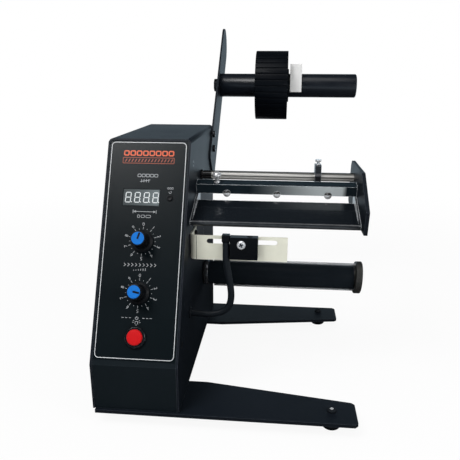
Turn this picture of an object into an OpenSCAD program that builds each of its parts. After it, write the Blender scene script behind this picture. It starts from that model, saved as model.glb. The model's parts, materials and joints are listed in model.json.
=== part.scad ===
// Semi automatic label dispenser. A slim folded steel box on a plate with two legs holds
// the controls and the drive. Everything that carries the label web stands out of the
// box's right side: a supply shaft on a leaning arm, a peel tray under a press bar, a
// label sensor on a slotted bracket and a driven rewind roller.
// The box's left face is x = 0, its knee is y = 0 and its floor is z = 0 until placed()
// moves the whole part so that it is centred over the feet's bottom plane.

/* [Box] */
// Width of the box across its side walls
body_w = 70; // [64:1:84]
// Depth of the box from its knee to its back
body_d = 221; // [205:1:250]
// Height of the box above its floor
body_h = 206.5; // [198:0.5:225]
// Height of the knee where the sloping front starts
knee_h = 39.5; // [34:0.5:44]
// Run of the sloping front from the knee back to the top
slope_run = 80.5; // [74:0.5:88]
// How far the toe stands back from the knee
toe_back = 1.4; // [0:0.1:4]
// Thickness of the folded cover sheet
cover_t = 1.5; // [1:0.1:2]
// Outside radius of the cover's two top folds
fold_r = 3.5; // [2.5:0.1:5]
// Width of the cover's inward flanges
flange_w = 12; // [10:0.5:12]
// Thickness of the front and rear panel sheets
panel_t = 1.2; // [0.8:0.1:1.6]
// Depth of the front face behind the cover's edge
panel_inset = 0.6; // [0.3:0.1:1]
// Depth of the front panel's side flanges
panel_flange = 24; // [22:0.5:28]

/* [Base] */
// Thickness of the base plate
plate_t = 3; // [2:0.5:4]
// Inset of the base plate from the box's left face
plate_inset = 2; // [1:0.5:4]
// Reach of the base plate past the knee and past the back
plate_lip = 0.5; // [0:0.1:1.5]
// Reach of the two legs past the box's right face
leg_reach = 140; // [120:1:160]
// Width of a leg where it leaves the box
leg_root_w = 50; // [44:1:56]
// Width of a leg at its tip
leg_tip_w = 30; // [24:1:36]
// Length of the straight part of a leg at its root
leg_straight = 16; // [10:1:30]
// Corner cut at the tip of a leg
leg_corner = 2.5; // [1:0.5:5]
// Distance of a leg's foot from the tip
foot_from_tip = 19.3; // [14:0.1:26]
// Distance of the outer feet from the plate's front and rear edges
foot_from_edge = 16.8; // [12:0.1:18]
// Distance of the inner feet from the box's left face
foot_inner_x = 17; // [17:0.5:24]
// Distance of the inner feet from the plate's front and rear edges
foot_inner_edge = 33; // [26:0.5:45]
// Diameter of a foot at its top
foot_d = 19.5; // [14:0.5:22]
// Diameter of a foot where it stands
foot_base_d = 13; // [9:0.5:14]
// Height of a foot
foot_h = 10.5; // [9:0.5:16]

/* [Control panel] */
// Thickness of the printed overlay
overlay_t = 0.4; // [0.2:0.1:0.5]
// Margin of the overlay inside the front face
overlay_margin = 0.9; // [0.5:0.1:2]
// Height of the overlay's lower edge above the knee, along the slope
overlay_low = 4.5; // [3:0.1:8]
// Distance of the overlay's upper edge below the top of the slope
overlay_high = 2.6; // [2:0.1:6]
// Distance of the display's middle left of the box's middle
display_left = 3.8; // [2:0.1:5]
// Place of the display, as a share of the slope's length
display_share = 0.729; // [0.7:0.001:0.76]
// Width of the four digit display
display_w = 30.2; // [25:0.1:31]
// Height of the four digit display
display_h = 13.6; // [10:0.1:16]
// Depth of the display module
display_deep = 7.2; // [6:0.1:9]
// Distance of the reset button right of the box's middle
reset_right = 20.1; // [18:0.1:23]
// Diameter of the reset button
reset_d = 5; // [4:0.1:6]
// Travel of the reset button
reset_travel = 1; // [0.4:0.1:1.2]
// Place of the length dial, as a share of the slope's length
length_share = 0.533; // [0.5:0.001:0.55]
// Place of the speed dial, as a share of the slope's length
speed_share = 0.308; // [0.28:0.001:0.335]
// Place of the power button, as a share of the slope's length
power_share = 0.122; // [0.108:0.001:0.15]

/* [Knobs] */
// Diameter of a knob's skirt
skirt_d = 18; // [16:0.5:22]
// Height of a knob above the overlay
knob_h = 16.2; // [14:0.1:20]
// Diameter of a knob's barrel at its foot
barrel_d = 13.6; // [13.2:0.1:15]
// Diameter of a knob's barrel at its top
barrel_top_d = 12.4; // [11.6:0.1:13]
// Diameter of the coloured cap
cap_d = 11; // [9:0.1:11.2]
// Diameter of a control's shaft
pot_shaft_d = 6; // [5:0.1:6.2]
// Angle of the length knob, clockwise from the dial's zero
length_turn = 16; // [0:1:300]
// Angle of the speed knob, clockwise from the dial's zero
speed_turn = 100; // [0:1:300]

/* [Power button] */
// Outside diameter of the bezel
bezel_d = 17.5; // [17:0.5:22]
// Height of the bezel over the overlay
bezel_h = 2.6; // [1.5:0.1:4]
// Diameter of the button's cap
button_d = 12.4; // [10:0.1:13]
// Height of the cap over the overlay
button_h = 5; // [4:0.1:8]
// Travel of the power button
button_travel = 2; // [1:0.1:3]

/* [Supply arm and shaft] */
// Thickness of the arm
arm_t = 2; // [1.5:0.1:4]
// Width of the arm
arm_w = 41; // [36:1:48]
// Lean of the arm from level
arm_lean = 45; // [42:1:48]
// Distance of the supply shaft behind the box's back
shaft_behind = 63.5; // [56:0.5:75]
// Height of the supply shaft over the box's top
shaft_over = 40; // [32:0.5:46]
// Length of the arm from the shaft down to its square end
arm_down = 118.5; // [112:0.5:122]
// Length of the arm from the shaft up to the middle of its round end
arm_up = 63; // [40:0.5:80]
// Diameter of the supply shaft
shaft_d = 26; // [20:0.5:27]
// Length of the supply shaft
shaft_len = 154; // [130:1:180]

/* [Core hub] */
// Outside diameter of the hub, for the label roll's core
hub_d = 76; // [60:1:90]
// Width of the hub
hub_w = 35.9; // [30:0.1:44]
// Distance of the hub from the arm
hub_from_arm = 41; // [30:0.5:60]
// Number of grooves round the hub
hub_grooves = 36; // [24:1:40]
// Width of a groove
groove_w = 1.3; // [0.8:0.1:1.5]
// Width of the stop clip along the shaft
clip_w = 12.9; // [8:0.1:20]
// Gap between the hub's bush and the stop clip
clip_gap = 1.4; // [1:0.1:6]
// Height of the stop clip's tab over the shaft's axis
clip_up = 23.5; // [18:0.5:30]
// Reach of the stop clip below the shaft's axis
clip_down = 6.8; // [4:0.1:9]

/* [Tray and press bar] */
// Width of the tray over its two side flanges
tray_w = 141; // [120:1:160]
// Distance of the tray's front edge behind the knee
tray_y = 66.1; // [62:0.1:72]
// Height of the tray's front edge
tray_z = 141.2; // [138:0.1:146]
// Slope of the tray
tray_tilt = 18; // [16:0.5:20]
// Length of the tray's deck along its slope
tray_deep = 34; // [28:0.5:35]
// Thickness of the tray's sheet
tray_t = 2; // [1.5:0.1:2.4]
// Radius of the tray's rounded peel edge
nose_r = 2.5; // [2.2:0.1:3]
// Side of the square press bar
bar_side = 9.2; // [6:0.1:10]
// Slope of the press bar
bar_tilt = 18; // [16:0.1:24]
// Distance of the bar's lower front edge behind the tray's front edge
bar_back = 38; // [36:0.1:42]
// Height of the bar's lower front edge over the tray's front edge
bar_up = 15.1; // [14.8:0.1:18]
// Diameter of a press stud's round head
stud_d = 6.6; // [5:0.1:7]
// Thickness of the end plate
end_t = 3; // [2:0.5:4]

/* [Guides] */
// Diameter of the guide rod
rod_d = 8; // [6:0.5:9]
// Distance of the guide rod behind the tray's front edge
rod_back = 67.9; // [62:0.1:72]
// Height of the guide rod over the tray's front edge
rod_up = 26.7; // [25:0.1:29]
// Width of the sliding edge guide
guide_w = 5.8; // [4:0.1:10]
// Distance of the edge guide from the tray's left flange
guide_from_left = 103.4; // [40:0.1:104]

/* [Label sensor] */
// Length of the bracket past the box's right face
bracket_len = 82; // [76:1:90]
// Height of the bracket's plate
bracket_h = 21.1; // [18:0.1:24]
// Height of the bracket's lower edge
bracket_z = 108.3; // [104:0.1:112]
// Distance of the bracket's front face behind the knee
bracket_y = 62; // [61.5:0.1:64]
// Thickness of the bracket's sheet
bracket_t = 1.5; // [1:0.1:2]
// Outside radius of the bracket's fold
bracket_fold = 6; // [4:0.5:7]
// Length of the bracket's flange along the box
bracket_flange = 24; // [18:1:28]
// Length of the slot
slot_len = 58.9; // [50:0.1:60]
// Height of the slot
slot_h = 4.3; // [4.1:0.1:4.6]
// Width of the sensor block
sensor_w = 23.1; // [18:0.1:26]
// Height of the sensor block
sensor_h = 19.1; // [16:0.1:22]
// Depth of the sensor block
sensor_deep = 7.8; // [6:0.1:8]
// Diameter of the sensor's cable
cable_d = 5.8; // [4.5:0.1:5.8]

/* [Rewind roller] */
// Distance of the roller's axis before the box's back
spindle_before = 75; // [69:0.5:79]
// Height of the roller's axis
spindle_z = 66.5; // [64:0.5:70]
// Outside diameter of the roller
roller_d = 23; // [22:0.5:26]
// Wall of the roller's tube
roller_t = 1.5; // [1:0.1:2.2]
// Length of the roller's tube
roller_len = 142.5; // [120:0.5:150]
// Diameter of the ring at the roller's root
ring_d = 25; // [24:0.5:28]
// Diameter of the liner clip's end cap
end_cap_d = 31.5; // [30:0.5:36]
// Width of the liner clip's end cap
end_cap_w = 8; // [6:0.5:12]
// Diameter of the liner clip's two rods
clip_rod_d = 2.4; // [2:0.1:2.4]
// Free length of the liner clip's rods
clip_rod_len = 138; // [100:1:138]

/* [Drive] */
// Tooth size: pitch diameter divided by teeth
gear_module = 1; // [0.9:0.05:1.05]
// Teeth of the spindle gear
gear_teeth = 36; // [30:1:38]
// Teeth of the motor pinion
pinion_teeth = 12; // [12:1:14]
// Width of the gears
gear_w = 6; // [4:0.5:6.5]
// Diameter of the spindle shaft
spindle_d = 8; // [6:0.5:8]
// Diameter of the motor
motor_d = 30; // [26:0.5:31]
// Space between the motor and the box's left wall
motor_room = 6.5; // [5:0.5:14]
// Diameter of the motor's shaft
motor_shaft_d = 3; // [2:0.1:3.2]

/* [Hidden] */
$fn = 48;

// Fits: what runs or slides, what is pressed or screwed, and the overrun of every cut
run_gap = 0.05;
slide_gap = 0.1;
hole_gap = 0.1;
seat_gap = 0.02;
body_gap = 0.4;
cut = 1;

// Screws: radius of the shank, radius and height of the head, length under the head
pan_r = 2;
pan_head_r = 3.6;
pan_head_h = 2.4;
pan_len = 6;
pan_dome_share = 0.45;
recess_w = 0.9;
recess_deep = 1.1;
recess_share = 0.55;
csk_r = 1.5;
csk_head_r = 2.9;
csk_len = 7;
foot_screw_len = 8.5;
foot_bore_spare = 0.6;

// Box
lean = atan2(slope_run, body_h - knee_h);
slope_len = norm([slope_run, body_h - knee_h]);
toe_len = norm([toe_back, knee_h]);
front_z = body_h - cover_t - body_gap;
right_in = body_w - cover_t;
rear_out = body_d;
rear_in = body_d - panel_t;
flange_front = 36;
flange_rear = 34;
side_screw_low_s = 18;
side_screw_high_s = 0.917 * slope_len;
side_screw_deep = 14;
side_screw_deeper = 18;
base_screw_front = 46;
base_screw_rear = 40;
rear_screw_low = 16;
rear_screw_drop = 20;

// Base
leg_end = body_w + leg_reach;
base_front = -plate_lip;
base_rear = body_d + plate_lip;
foot_chamfer = 2;
floor_drop = plate_t + foot_h;
feet = [
    [leg_end - foot_from_tip, base_front + foot_from_edge],
    [leg_end - foot_from_tip, base_rear - foot_from_edge + foot_from_edge / 3],
    [foot_inner_x, base_front + foot_inner_edge],
    [foot_inner_x, base_rear - foot_inner_edge]];

// Control panel, as heights over the slope line
face_h = -panel_inset;
back_h = -panel_inset - panel_t;
print_h = -panel_inset + overlay_t;
dial_x = body_w / 2;
display_x = dial_x - display_left;
reset_x = dial_x + reset_right;
display_s = slope_len * display_share;
length_s = slope_len * length_share;
speed_s = slope_len * speed_share;
power_s = slope_len * power_share;
display_gap = 0.2;
display_face = print_h - overlay_t / 4;
display_foot = display_face - display_deep;
board_t = 1.6;
board_side = 6;
board_w = body_w - 2 * board_side;
board_len = 56;
board_s = display_s + 10;
board_edge = 4;
post_r = 2.5;
chip_size = [14, 10, 2];
chip_s = 8;
plug_size = [20, 6, 7];
plug_s = -18;
capacitor_r = 4;
capacitor_h = 11;
capacitor_at = [18, 14];
reset_proud = 1.2;
reset_flange_r = reset_d / 2 + 0.8 * overlay_t + 0.5 * panel_t;
reset_flange_t = 0.9;
reset_stem_r = 1.7;
switch_side = 6.2;
switch_rise = reset_travel + slide_gap;
stem_deep = 2;

// Knobs and the controls behind them
knob_lift = 0.7;
skirt_t = 1.5;
knob_flutes = 12;
flute_r = 1.1;
cap_t = 1.5;
cap_sunk = 1.1;
pointer_w = 1.5;
pointer_deep = 0.4;
knob_room_r = 6.2;
knob_room_h = 5.2;
shaft_top_share = 0.8;
pot_r = 8.25;
pot_deep = 8.5;
bushing_r = 3.5;
bushing_h = 4.4;
pot_bore_share = 0.75;
tab_size = [10, 6, 1];
pot_nut_r = 5.7;
pot_nut_t = 2;

// Power switch
barrel_r = 8;
switch_barrel = 20;
switch_rear = [13, 13, 10];
lug_size = [4, 0.8, 6];
lug_apart = 8;
button_skirt = 8;
button_dome_share = 0.35;
button_top_share = 0.72;
bezel_chamfer = 1;

// Mains inlet at the back
inlet_x = body_w / 2;
inlet_z = 40;
inlet_flange = [48, 22];
inlet_flange_t = 3;
inlet_body = [27.4, 19.4];
inlet_deep = 18;
inlet_mouth = [23.6, 15.4];
inlet_floor = 3;
inlet_screw_x = 19.5;
pin_size = [2, 4];
pin_apart = 7;
pin_drop = 2;
pin_rise = 3;
pin_short = 4.6;
pin_tail = 7;
inlet_out = rear_out + inlet_flange_t;
inlet_in = inlet_out - inlet_deep;
pin_end = inlet_in - pin_tail;
pin_places = [[-pin_apart, -pin_drop], [pin_apart, -pin_drop], [0, pin_rise]];

// Transformer on the floor
coil_x = body_w / 2;
coil_y = 84;
core_share = 0.6;
core_size = [core_share * body_w, 20, 32];
limb_share = 0.31;
core_limb = limb_share * core_size[0];
yoke_share = 0.19;
core_yoke = yoke_share * core_size[0];
coil_over = 7;
foot_tab = [8, 14];
foot_tab_t = 1.5;
core_gap = 0.2;

// Supply shaft and arm
shaft_y = body_d + shaft_behind;
shaft_z = body_h + shaft_over;
arm_x = body_w;
arm_out = body_w + arm_t;
arm_corner = 3;
arm_screw_rear = 12;
arm_screw_drop = 8.6;
arm_screw_apart = 15;
shaft_chamfer = 1;
bolt_r = 3;
bolt_head_r = 7.2;
bolt_head_h = 5.8;
bolt_len = 22;

// Hub, bush and stop clip
hub_x = arm_out + hub_from_arm;
bush_wall = 3.2;
bush_rim = 2;
bush_rim_t = 1.1;
groove_deep = 0.8;
hub_rim = 4.5;
hub_web = 12;
hub_boss = 4;
clip_x = hub_x + hub_w + bush_rim_t + run_gap * 2 + clip_gap;
clip_wall = 1.9;
clip_plate = 3;

// Tray, bar, rod and end plate
tray_x = body_w;
tray_right = body_w + tray_w;
bar_front = [tray_y + bar_back, tray_z + bar_up];
bar_rear = bar_front + bar_side * [cos(bar_tilt), sin(bar_tilt)];
rod_y = tray_y + rod_back;
rod_z = tray_z + rod_up;
flange_low = tray_z - 3.7;
flange_tail = 1.5;
tray_screws = [[tray_y + 23, tray_z + 0.3], [tray_y + 38, tray_z + 1.2]];
end_nose = 20.5;
end_nose_z = 16;
end_low = 4.7;
end_high = 39.5;
end_rear = 97;
end_chin = 5;
end_rear_cut = 9;
end_brow = 17.5;
rod_collar_r = 4.7;
rod_collar = 2;
rod_inside = 3;
stud_shank_r = 1.5;
stud_shank = 4;
stud_sink = 0.4;
stud_shares = [0.193, 0.508, 0.823];
bar_screw_x = 18.4;
bar_screw_r = 1.7;
bar_screw_head_r = 3.8;
bar_screw_head_h = 3.6;
bar_screw_neck = 4.6;
bar_screw_collar_r = 2.9;
bar_screw_collar = 1.4;
bar_screw_deep = 5;

// Edge guide on the rod
guide_front = 3.4;
guide_step = 1.6;
guide_rear = 3.6;
guide_top = 7.2;
guide_low = 3.4;
guide_x = tray_x + tray_t + guide_from_left;
grub_r = 1.3;
grub_head_r = 2.8;
grub_head_h = 1.5;
grub_rise = 3.4;

// Sensor on its bracket
slot_x = body_w + 14.7;
slot_z = bracket_z + 16.25;
sensor_x = body_w + 34.6;
sensor_z = bracket_z + 3.2;
sensor_gap = 0.1;
sensor_front = bracket_y - sensor_gap - sensor_deep;
sensor_screw_x = sensor_x + 9.6;
sensor_screw_r = 1.9;
sensor_head_r = 3.6;
sensor_head_h = 1.9;
nut_r = 4.1;
nut_t = 2.6;
boot_size = [6.6, 6.6, 6.3];
boot_z = sensor_z + 14.3;
eye_r = 2;
eye_deep = 1.2;
bracket_screw_y = 22;
bracket_screw_zs = [5, 16];
grommet_r = 5;
grommet_rim = 1.2;
grommet_inner = 3.6;
grommet_rim_in = 1.6;

// Route of the sensor's cable: straight down from its boot, in one bow round to the box's
// side, and straight in through the grommet
cable_sides = 10;
cable_steps = 12;
cable_straight = 11;
cable_hang = 26;
cable_flat = 4;
cable_bow = 48;
cable_sag = 5.5;
cable_inside = 8;
cable_in = [59.7, 60.5];
cable_out = [sensor_x - boot_size[0] / 2, bracket_y - sensor_deep / 2 - sensor_gap, boot_z];
bow_start = cable_out - [0, 0, cable_straight];
bow_end = [body_w + cable_flat, cable_in[0], cable_in[1]];
function bow(t) = bow_start * pow(1 - t, 3) + (bow_start - [0, 0, cable_hang]) * 3 * t * pow(1 - t, 2)
    + (bow_end + [cable_bow, 0, -cable_sag]) * 3 * t * t * (1 - t) + bow_end * pow(t, 3);
route = concat([cable_out], [for (i = [0 : cable_steps]) bow(i / cable_steps)],
    [bow_end - [cable_flat, 0, 0], bow_end - [cable_flat + cable_inside, 0, 0]]);

// Rewind spindle, from the box outwards
ring_x = body_w + 1.2;
ring_w = 4.3;
roller_x = ring_x + ring_w;
roller_end = roller_x + roller_len;
roller_in_r = roller_d / 2 - roller_t;
plug_len = 12;
spigot_len = 12;
clip_face = 0.3;
cap_x = roller_end + clip_face;
knurls = 36;
knurl_r = 0.7;
clip_rod_r = clip_rod_d / 2;
clip_rod_at = roller_d / 2 + slide_gap * 4 + clip_rod_r;
clip_rod_grip = 4;

// Drive inside the box
pressure_angle = 25;
tooth_tip = 0.9;
tooth_root = 1.2;
tooth_thin = 0.08;
flank_steps = 4;
centre_gap = 0.1;
gear_pitch_r = gear_module * gear_teeth / 2;
pinion_pitch_r = gear_module * pinion_teeth / 2;
centre_far = gear_pitch_r + pinion_pitch_r + centre_gap;
motor_dir = 60;
spindle_y = body_d - spindle_before;
motor_y = spindle_y + centre_far * cos(motor_dir);
motor_z = spindle_z + centre_far * sin(motor_dir);
bearing_r = 8;
bearing_w = 5;
housing_r = 14;
housing_w = 7.5;
housing_spigot_r = 7;
bracket_plate_t = 2;
frame_x = right_in - 24.5;
motor_len = frame_x - cover_t - motor_room;
frame_seat = frame_x + bracket_plate_t / 4;
frame_boss_r = 10.5;
frame_boss = bearing_w - bracket_plate_t + bracket_plate_t / 4;
gear_x = frame_seat + bearing_w + 1;
frame_front = 34;
frame_rear = 34;
frame_low = 32;
frame_high = 50;
frame_post_r = 4;
frame_post_top = 43;
frame_post_side = 25;
frame_post_drop = 24;
motor_boss_r = 5;
motor_boss = 1.5;
motor_chamfer = 1.5;
collar_r = 6.5;
collar_w = 1.2;

// Inner wiring from the inlet's blades to the power switch and to the board's plug
wire_r = 1.6;
wire_sides = 8;
wire_lead = 6;
wire_left_x = cover_t + 6.5;
wire_right_x = right_in - 8.5;
lug_s = power_s - lug_apart / 2;
lug_deep = switch_barrel + switch_rear[2] + lug_size[2] - print_h;
plug_deep = board_t + plug_size[2] - display_foot;
function on_front(x, s, deep) = [x, front_at(s, deep)[0], front_at(s, deep)[1]];
left_blade = [inlet_x - pin_apart, pin_end - seat_gap, inlet_z - pin_drop];
right_blade = [inlet_x + pin_apart, pin_end - seat_gap, inlet_z - pin_drop];
wire_turn_y = pin_end - 5 * wire_lead;
wire_low = [left_blade, left_blade - [0, wire_lead, 0], [wire_left_x + 12, wire_turn_y, 28],
    [wire_left_x + 4, (wire_turn_y + coil_y + 31) / 2, 22], [wire_left_x + 1, coil_y + 31, 20],
    [wire_left_x, coil_y + 6, 18], [wire_left_x + 4, coil_y - 12, 22], [dial_x - 9, coil_y - 24, 31],
    on_front(dial_x, lug_s, lug_deep + 1.3 * wire_lead), on_front(dial_x, lug_s, lug_deep + seat_gap)];
wire_high = [right_blade, right_blade - [0, wire_lead, 0], [wire_right_x, spindle_y + 34, 60],
    [wire_right_x, spindle_y + 14, 110], [wire_right_x - 4, spindle_y - 6, 140],
    [wire_right_x - 12, spindle_y - 26, 150], on_front(dial_x + 3, board_s + plug_s, plug_deep + wire_lead),
    on_front(dial_x + 3, board_s + plug_s, plug_deep + seat_gap)];

part_right = max(cap_x + end_cap_w, arm_out + shaft_len);
arm_tip_y = shaft_y + arm_up * cos(arm_lean) + arm_w / 2;
arm_tip_z = shaft_z + arm_up * sin(arm_lean) + arm_w / 2;
mid_x = part_right / 2;
mid_y = (base_front + arm_tip_y) / 2;

// Moves a piece from the box's own corner to the part's origin
module placed() {
    translate([-mid_x, -mid_y, floor_drop]) children();
}

// Draws an outline in Y and Z out along X
module along_x(x, length) {
    translate([x, 0, 0]) rotate([90, 0, 90]) linear_extrude(height = length) children();
}

// Round bar along X
module rod_x(x, length, y, z, r) {
    translate([x, y, z]) rotate([0, 90, 0]) cylinder(h = length, r = r);
}

// Ring along X
module ring_bar_x(x, length, y, z, r, bore) {
    difference() {
        rod_x(x, length, y, z, r);
        rod_x(x - cut, length + 2 * cut, y, z, bore);
    }
}

// Stands a piece on the sloping front: s runs up the slope from the knee
module on_panel(x, s) {
    translate([x, s * sin(lean), knee_h + s * cos(lean)]) rotate([90 - lean, 0, 0]) children();
}

// Round bar square to the panel between two heights over the slope line
module post(r, low, high) {
    translate([0, 0, low]) cylinder(h = high - low, r = r);
}

// Block centred on the panel between two heights
module slab(w, h, low, high) {
    translate([-w / 2, -h / 2, low]) cube([w, h, high - low]);
}

// Cross recess for a screw head whose top is at z = top
module cross_recess(r, top) {
    for (turn = [0, 90]) rotate(turn)
        translate([-r * recess_share, -recess_w / 2, top - recess_deep])
            cube([2 * r * recess_share, recess_w, recess_deep + cut]);
}

// Pan head screw: the head stands on z = 0 and the shank goes down
module pan_screw(length = pan_len) {
    difference() {
        union() {
            translate([0, 0, -length]) cylinder(h = length, r = pan_r);
            cylinder(h = pan_head_h * (1 - pan_dome_share), r = pan_head_r);
            translate([0, 0, pan_head_h * (1 - pan_dome_share)])
                cylinder(h = pan_head_h * pan_dome_share, r1 = pan_head_r,
                    r2 = pan_head_r * (1 - pan_dome_share / 2));
        }
        cross_recess(pan_head_r, pan_head_h);
    }
}

// Countersunk screw: the head's top is at z = 0
module countersunk_screw() {
    difference() {
        union() {
            translate([0, 0, -csk_len]) cylinder(h = csk_len, r = csk_r);
            translate([0, 0, csk_r - csk_head_r])
                cylinder(h = csk_head_r - csk_r, r1 = csk_r, r2 = csk_head_r);
        }
        cross_recess(csk_head_r, 0);
    }
}

// Hole for a countersunk screw
module countersunk_hole() {
    translate([0, 0, -csk_len]) cylinder(h = csk_len + cut, r = csk_r + hole_gap);
    translate([0, 0, csk_r - csk_head_r])
        cylinder(h = csk_head_r - csk_r, r1 = csk_r + hole_gap, r2 = csk_head_r + hole_gap);
    translate([0, 0, 0]) cylinder(h = cut, r = csk_head_r + hole_gap);
}

// Turns a screw so that its head looks along the named side
module facing(side) {
    rotate(side == "right" ? [0, 90, 0] : side == "left" ? [0, -90, 0] :
        side == "back" ? [-90, 0, 0] : [180, 0, 0]) children();
}

// Places of the screws, each a list of point and facing side
function front_at(s, deep) = [s * sin(lean) + deep * cos(lean), knee_h + s * cos(lean) - deep * sin(lean)];
side_low = front_at(side_screw_low_s, side_screw_deep);
side_high = front_at(side_screw_high_s, side_screw_deeper);
frame_post_at = [[spindle_y, spindle_z + frame_post_top],
    [spindle_y - frame_post_side, spindle_z - frame_post_drop],
    [spindle_y + frame_post_side, spindle_z - frame_post_drop]];
side_places = concat(
    [for (p = [side_low, side_high, frame_post_at[0]]) [[body_w, p[0], p[1]], "right"]],
    [for (p = [side_low, side_high]) [[0, p[0], p[1]], "left"]]);
arm_screws = [for (k = [0, 1]) [[arm_out, body_d - arm_screw_rear,
    body_h - arm_screw_drop - k * arm_screw_apart], "right"]];
tray_places = [for (p = tray_screws) [[tray_x + tray_t, p[0], p[1]], "right"]];
end_places = [for (p = tray_screws) [[tray_right + end_t, p[0], p[1]], "right"]];
bracket_places = [for (dz = bracket_screw_zs)
    [[body_w + bracket_t, bracket_y + bracket_screw_y, bracket_z + dz], "right"]];
rear_places = [for (x = [flange_w / 2 + cover_t / 2, body_w - flange_w / 2 - cover_t / 2],
    z = [rear_screw_low, body_h - rear_screw_drop]) [[x, rear_out, z], "back"]];
base_places = [for (x = [flange_w / 2, body_w - flange_w / 2],
    y = [base_screw_front, body_d - base_screw_rear]) [[x, y, -plate_t], "down"]];
inlet_places = [for (side = [-1, 1])
    [[inlet_x + side * inlet_screw_x, rear_out + inlet_flange_t, inlet_z], "back"]];
core_places = [for (side = [-1, 1])
    [[coil_x + side * (core_size[0] + foot_tab[0]) / 2, coil_y, foot_tab_t + cover_t], "up"]];
pan_places = concat(arm_screws, tray_places, end_places, bracket_places, rear_places,
    base_places, inlet_places, core_places);

// Puts a child at every place of a list
module at_places(places) {
    for (p = places) translate(p[0]) if (p[1] == "up") children(); else facing(p[1]) children();
}

// Clearance holes for the pan head screws of a list
module pan_holes(places) {
    at_places(places) translate([0, 0, -pan_len - cut])
        cylinder(h = pan_len + 2 * cut, r = pan_r + hole_gap);
}

// Outline of the front face moved in by a depth, as points from the floor to a height
function toe_at(z, deep) = toe_back * (1 - z / knee_h) + deep * toe_len / knee_h;
function slope_at(z, deep) = slope_run * (z - knee_h) / (body_h - knee_h)
    + deep * slope_len / (body_h - knee_h);
toe_normal = [knee_h, toe_back] / toe_len;
slope_normal = [body_h - knee_h, -slope_run] / slope_len;
function knee_at(deep) = [0, knee_h]
    + deep * (toe_normal + slope_normal) / (1 + toe_normal * slope_normal);
function front_line(deep) = [[toe_at(0, deep), 0], knee_at(deep), [slope_at(front_z, deep), front_z]];
function reversed(points) = [for (i = [len(points) - 1 : -1 : 0]) points[i]];
function front_band(shallow, deep) = concat(front_line(shallow), reversed(front_line(deep)));

// Side outline of the whole box
module box_outline() {
    polygon([[toe_back, 0], [0, knee_h], [slope_run, body_h], [body_d, body_h], [body_d, 0]]);
}

// Upright rectangle whose two top corners are round
module round_top(w, h, r) {
    square([w, h - r]);
    translate([r, 0]) square([w - 2 * r, h]);
    for (x = [r, w - r]) translate([x, h - r]) circle(r = r);
}

module base_plate() {
    color("#23262b") placed() difference() {
        translate([0, 0, -plate_t]) linear_extrude(height = plate_t) polygon(concat(
            [[plate_inset, base_front]],
            [[leg_end - leg_corner, base_front], [leg_end, base_front + leg_corner],
                [leg_end, base_front + leg_tip_w - leg_corner],
                [leg_end - leg_corner, base_front + leg_tip_w],
                [body_w + leg_straight, base_front + leg_root_w],
                [body_w - plate_inset, base_front + leg_root_w]],
            [[body_w - plate_inset, base_rear - leg_root_w],
                [body_w + leg_straight, base_rear - leg_root_w],
                [leg_end - leg_corner, base_rear - leg_tip_w],
                [leg_end, base_rear - leg_tip_w + leg_corner],
                [leg_end, base_rear - leg_corner], [leg_end - leg_corner, base_rear]],
            [[plate_inset, base_rear]]));
        for (p = feet) translate([p[0], p[1], -plate_t - cut])
            cylinder(h = plate_t + 2 * cut, r = pan_r + hole_gap);
        pan_holes(base_places);
        pan_holes(core_places);
    }
}

module rubber_feet() {
    color("#131416") placed() for (p = feet) translate([p[0], p[1], -floor_drop])
        rotate_extrude() polygon([[0, 0], [foot_base_d / 2, 0], [foot_d / 2, foot_h / 2],
            [foot_d / 2, foot_h - foot_chamfer / 2], [foot_d / 2 - foot_chamfer / 2, foot_h],
            [pan_r + hole_gap, foot_h],
            [pan_r + hole_gap, floor_drop - foot_screw_len - foot_bore_spare],
            [0, floor_drop - foot_screw_len - foot_bore_spare]]);
}

module foot_screws() {
    color("#c9ccd0") placed() for (p = feet) translate([p[0], p[1], 0]) pan_screw(foot_screw_len);
}

module cover_shell() {
    color("#2a2d33") placed() difference() {
        union() {
            intersection() {
                translate([0, body_d, 0]) rotate([90, 0, 0]) linear_extrude(height = body_d)
                    difference() {
                        round_top(body_w, body_h, fold_r);
                        translate([cover_t, -cut])
                            round_top(body_w - 2 * cover_t, body_h - cover_t + cut, fold_r - cover_t);
                    }
                along_x(0, body_w) box_outline();
            }
            for (x = [cover_t / 2, body_w - flange_w])
                translate([x, flange_front, 0])
                    cube([flange_w - cover_t / 2, body_d - flange_front - flange_rear, cover_t]);
            for (x = [cover_t / 2, body_w - flange_w])
                translate([x, rear_in - cover_t, cover_t])
                    cube([flange_w - cover_t / 2, cover_t, body_h - 2 * cover_t]);
        }
        at_places(side_places) countersunk_hole();
        pan_holes(arm_screws);
        pan_holes(tray_places);
        pan_holes(bracket_places);
        pan_holes(rear_places);
        pan_holes(base_places);
        pan_holes(core_places);
        pan_holes(inlet_places);
        rod_x(right_in - cut, cover_t + 2 * cut, rod_y, rod_z, rod_d / 2 + seat_gap);
        rod_x(right_in - cut, cover_t + 2 * cut, spindle_y, spindle_z, housing_spigot_r + hole_gap);
        rod_x(right_in - cut, cover_t + 2 * cut, cable_in[0], cable_in[1], grommet_inner + hole_gap);
    }
}

// Room inside the folded cover, for the sheets that stand in it
module box_room() {
    gap = cover_t + slide_gap;
    translate([gap, body_d + cut, -cut]) rotate([90, 0, 0]) linear_extrude(height = body_d + 2 * cut)
        round_top(body_w - 2 * gap, body_h - gap + cut, fold_r - cover_t);
}

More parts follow.
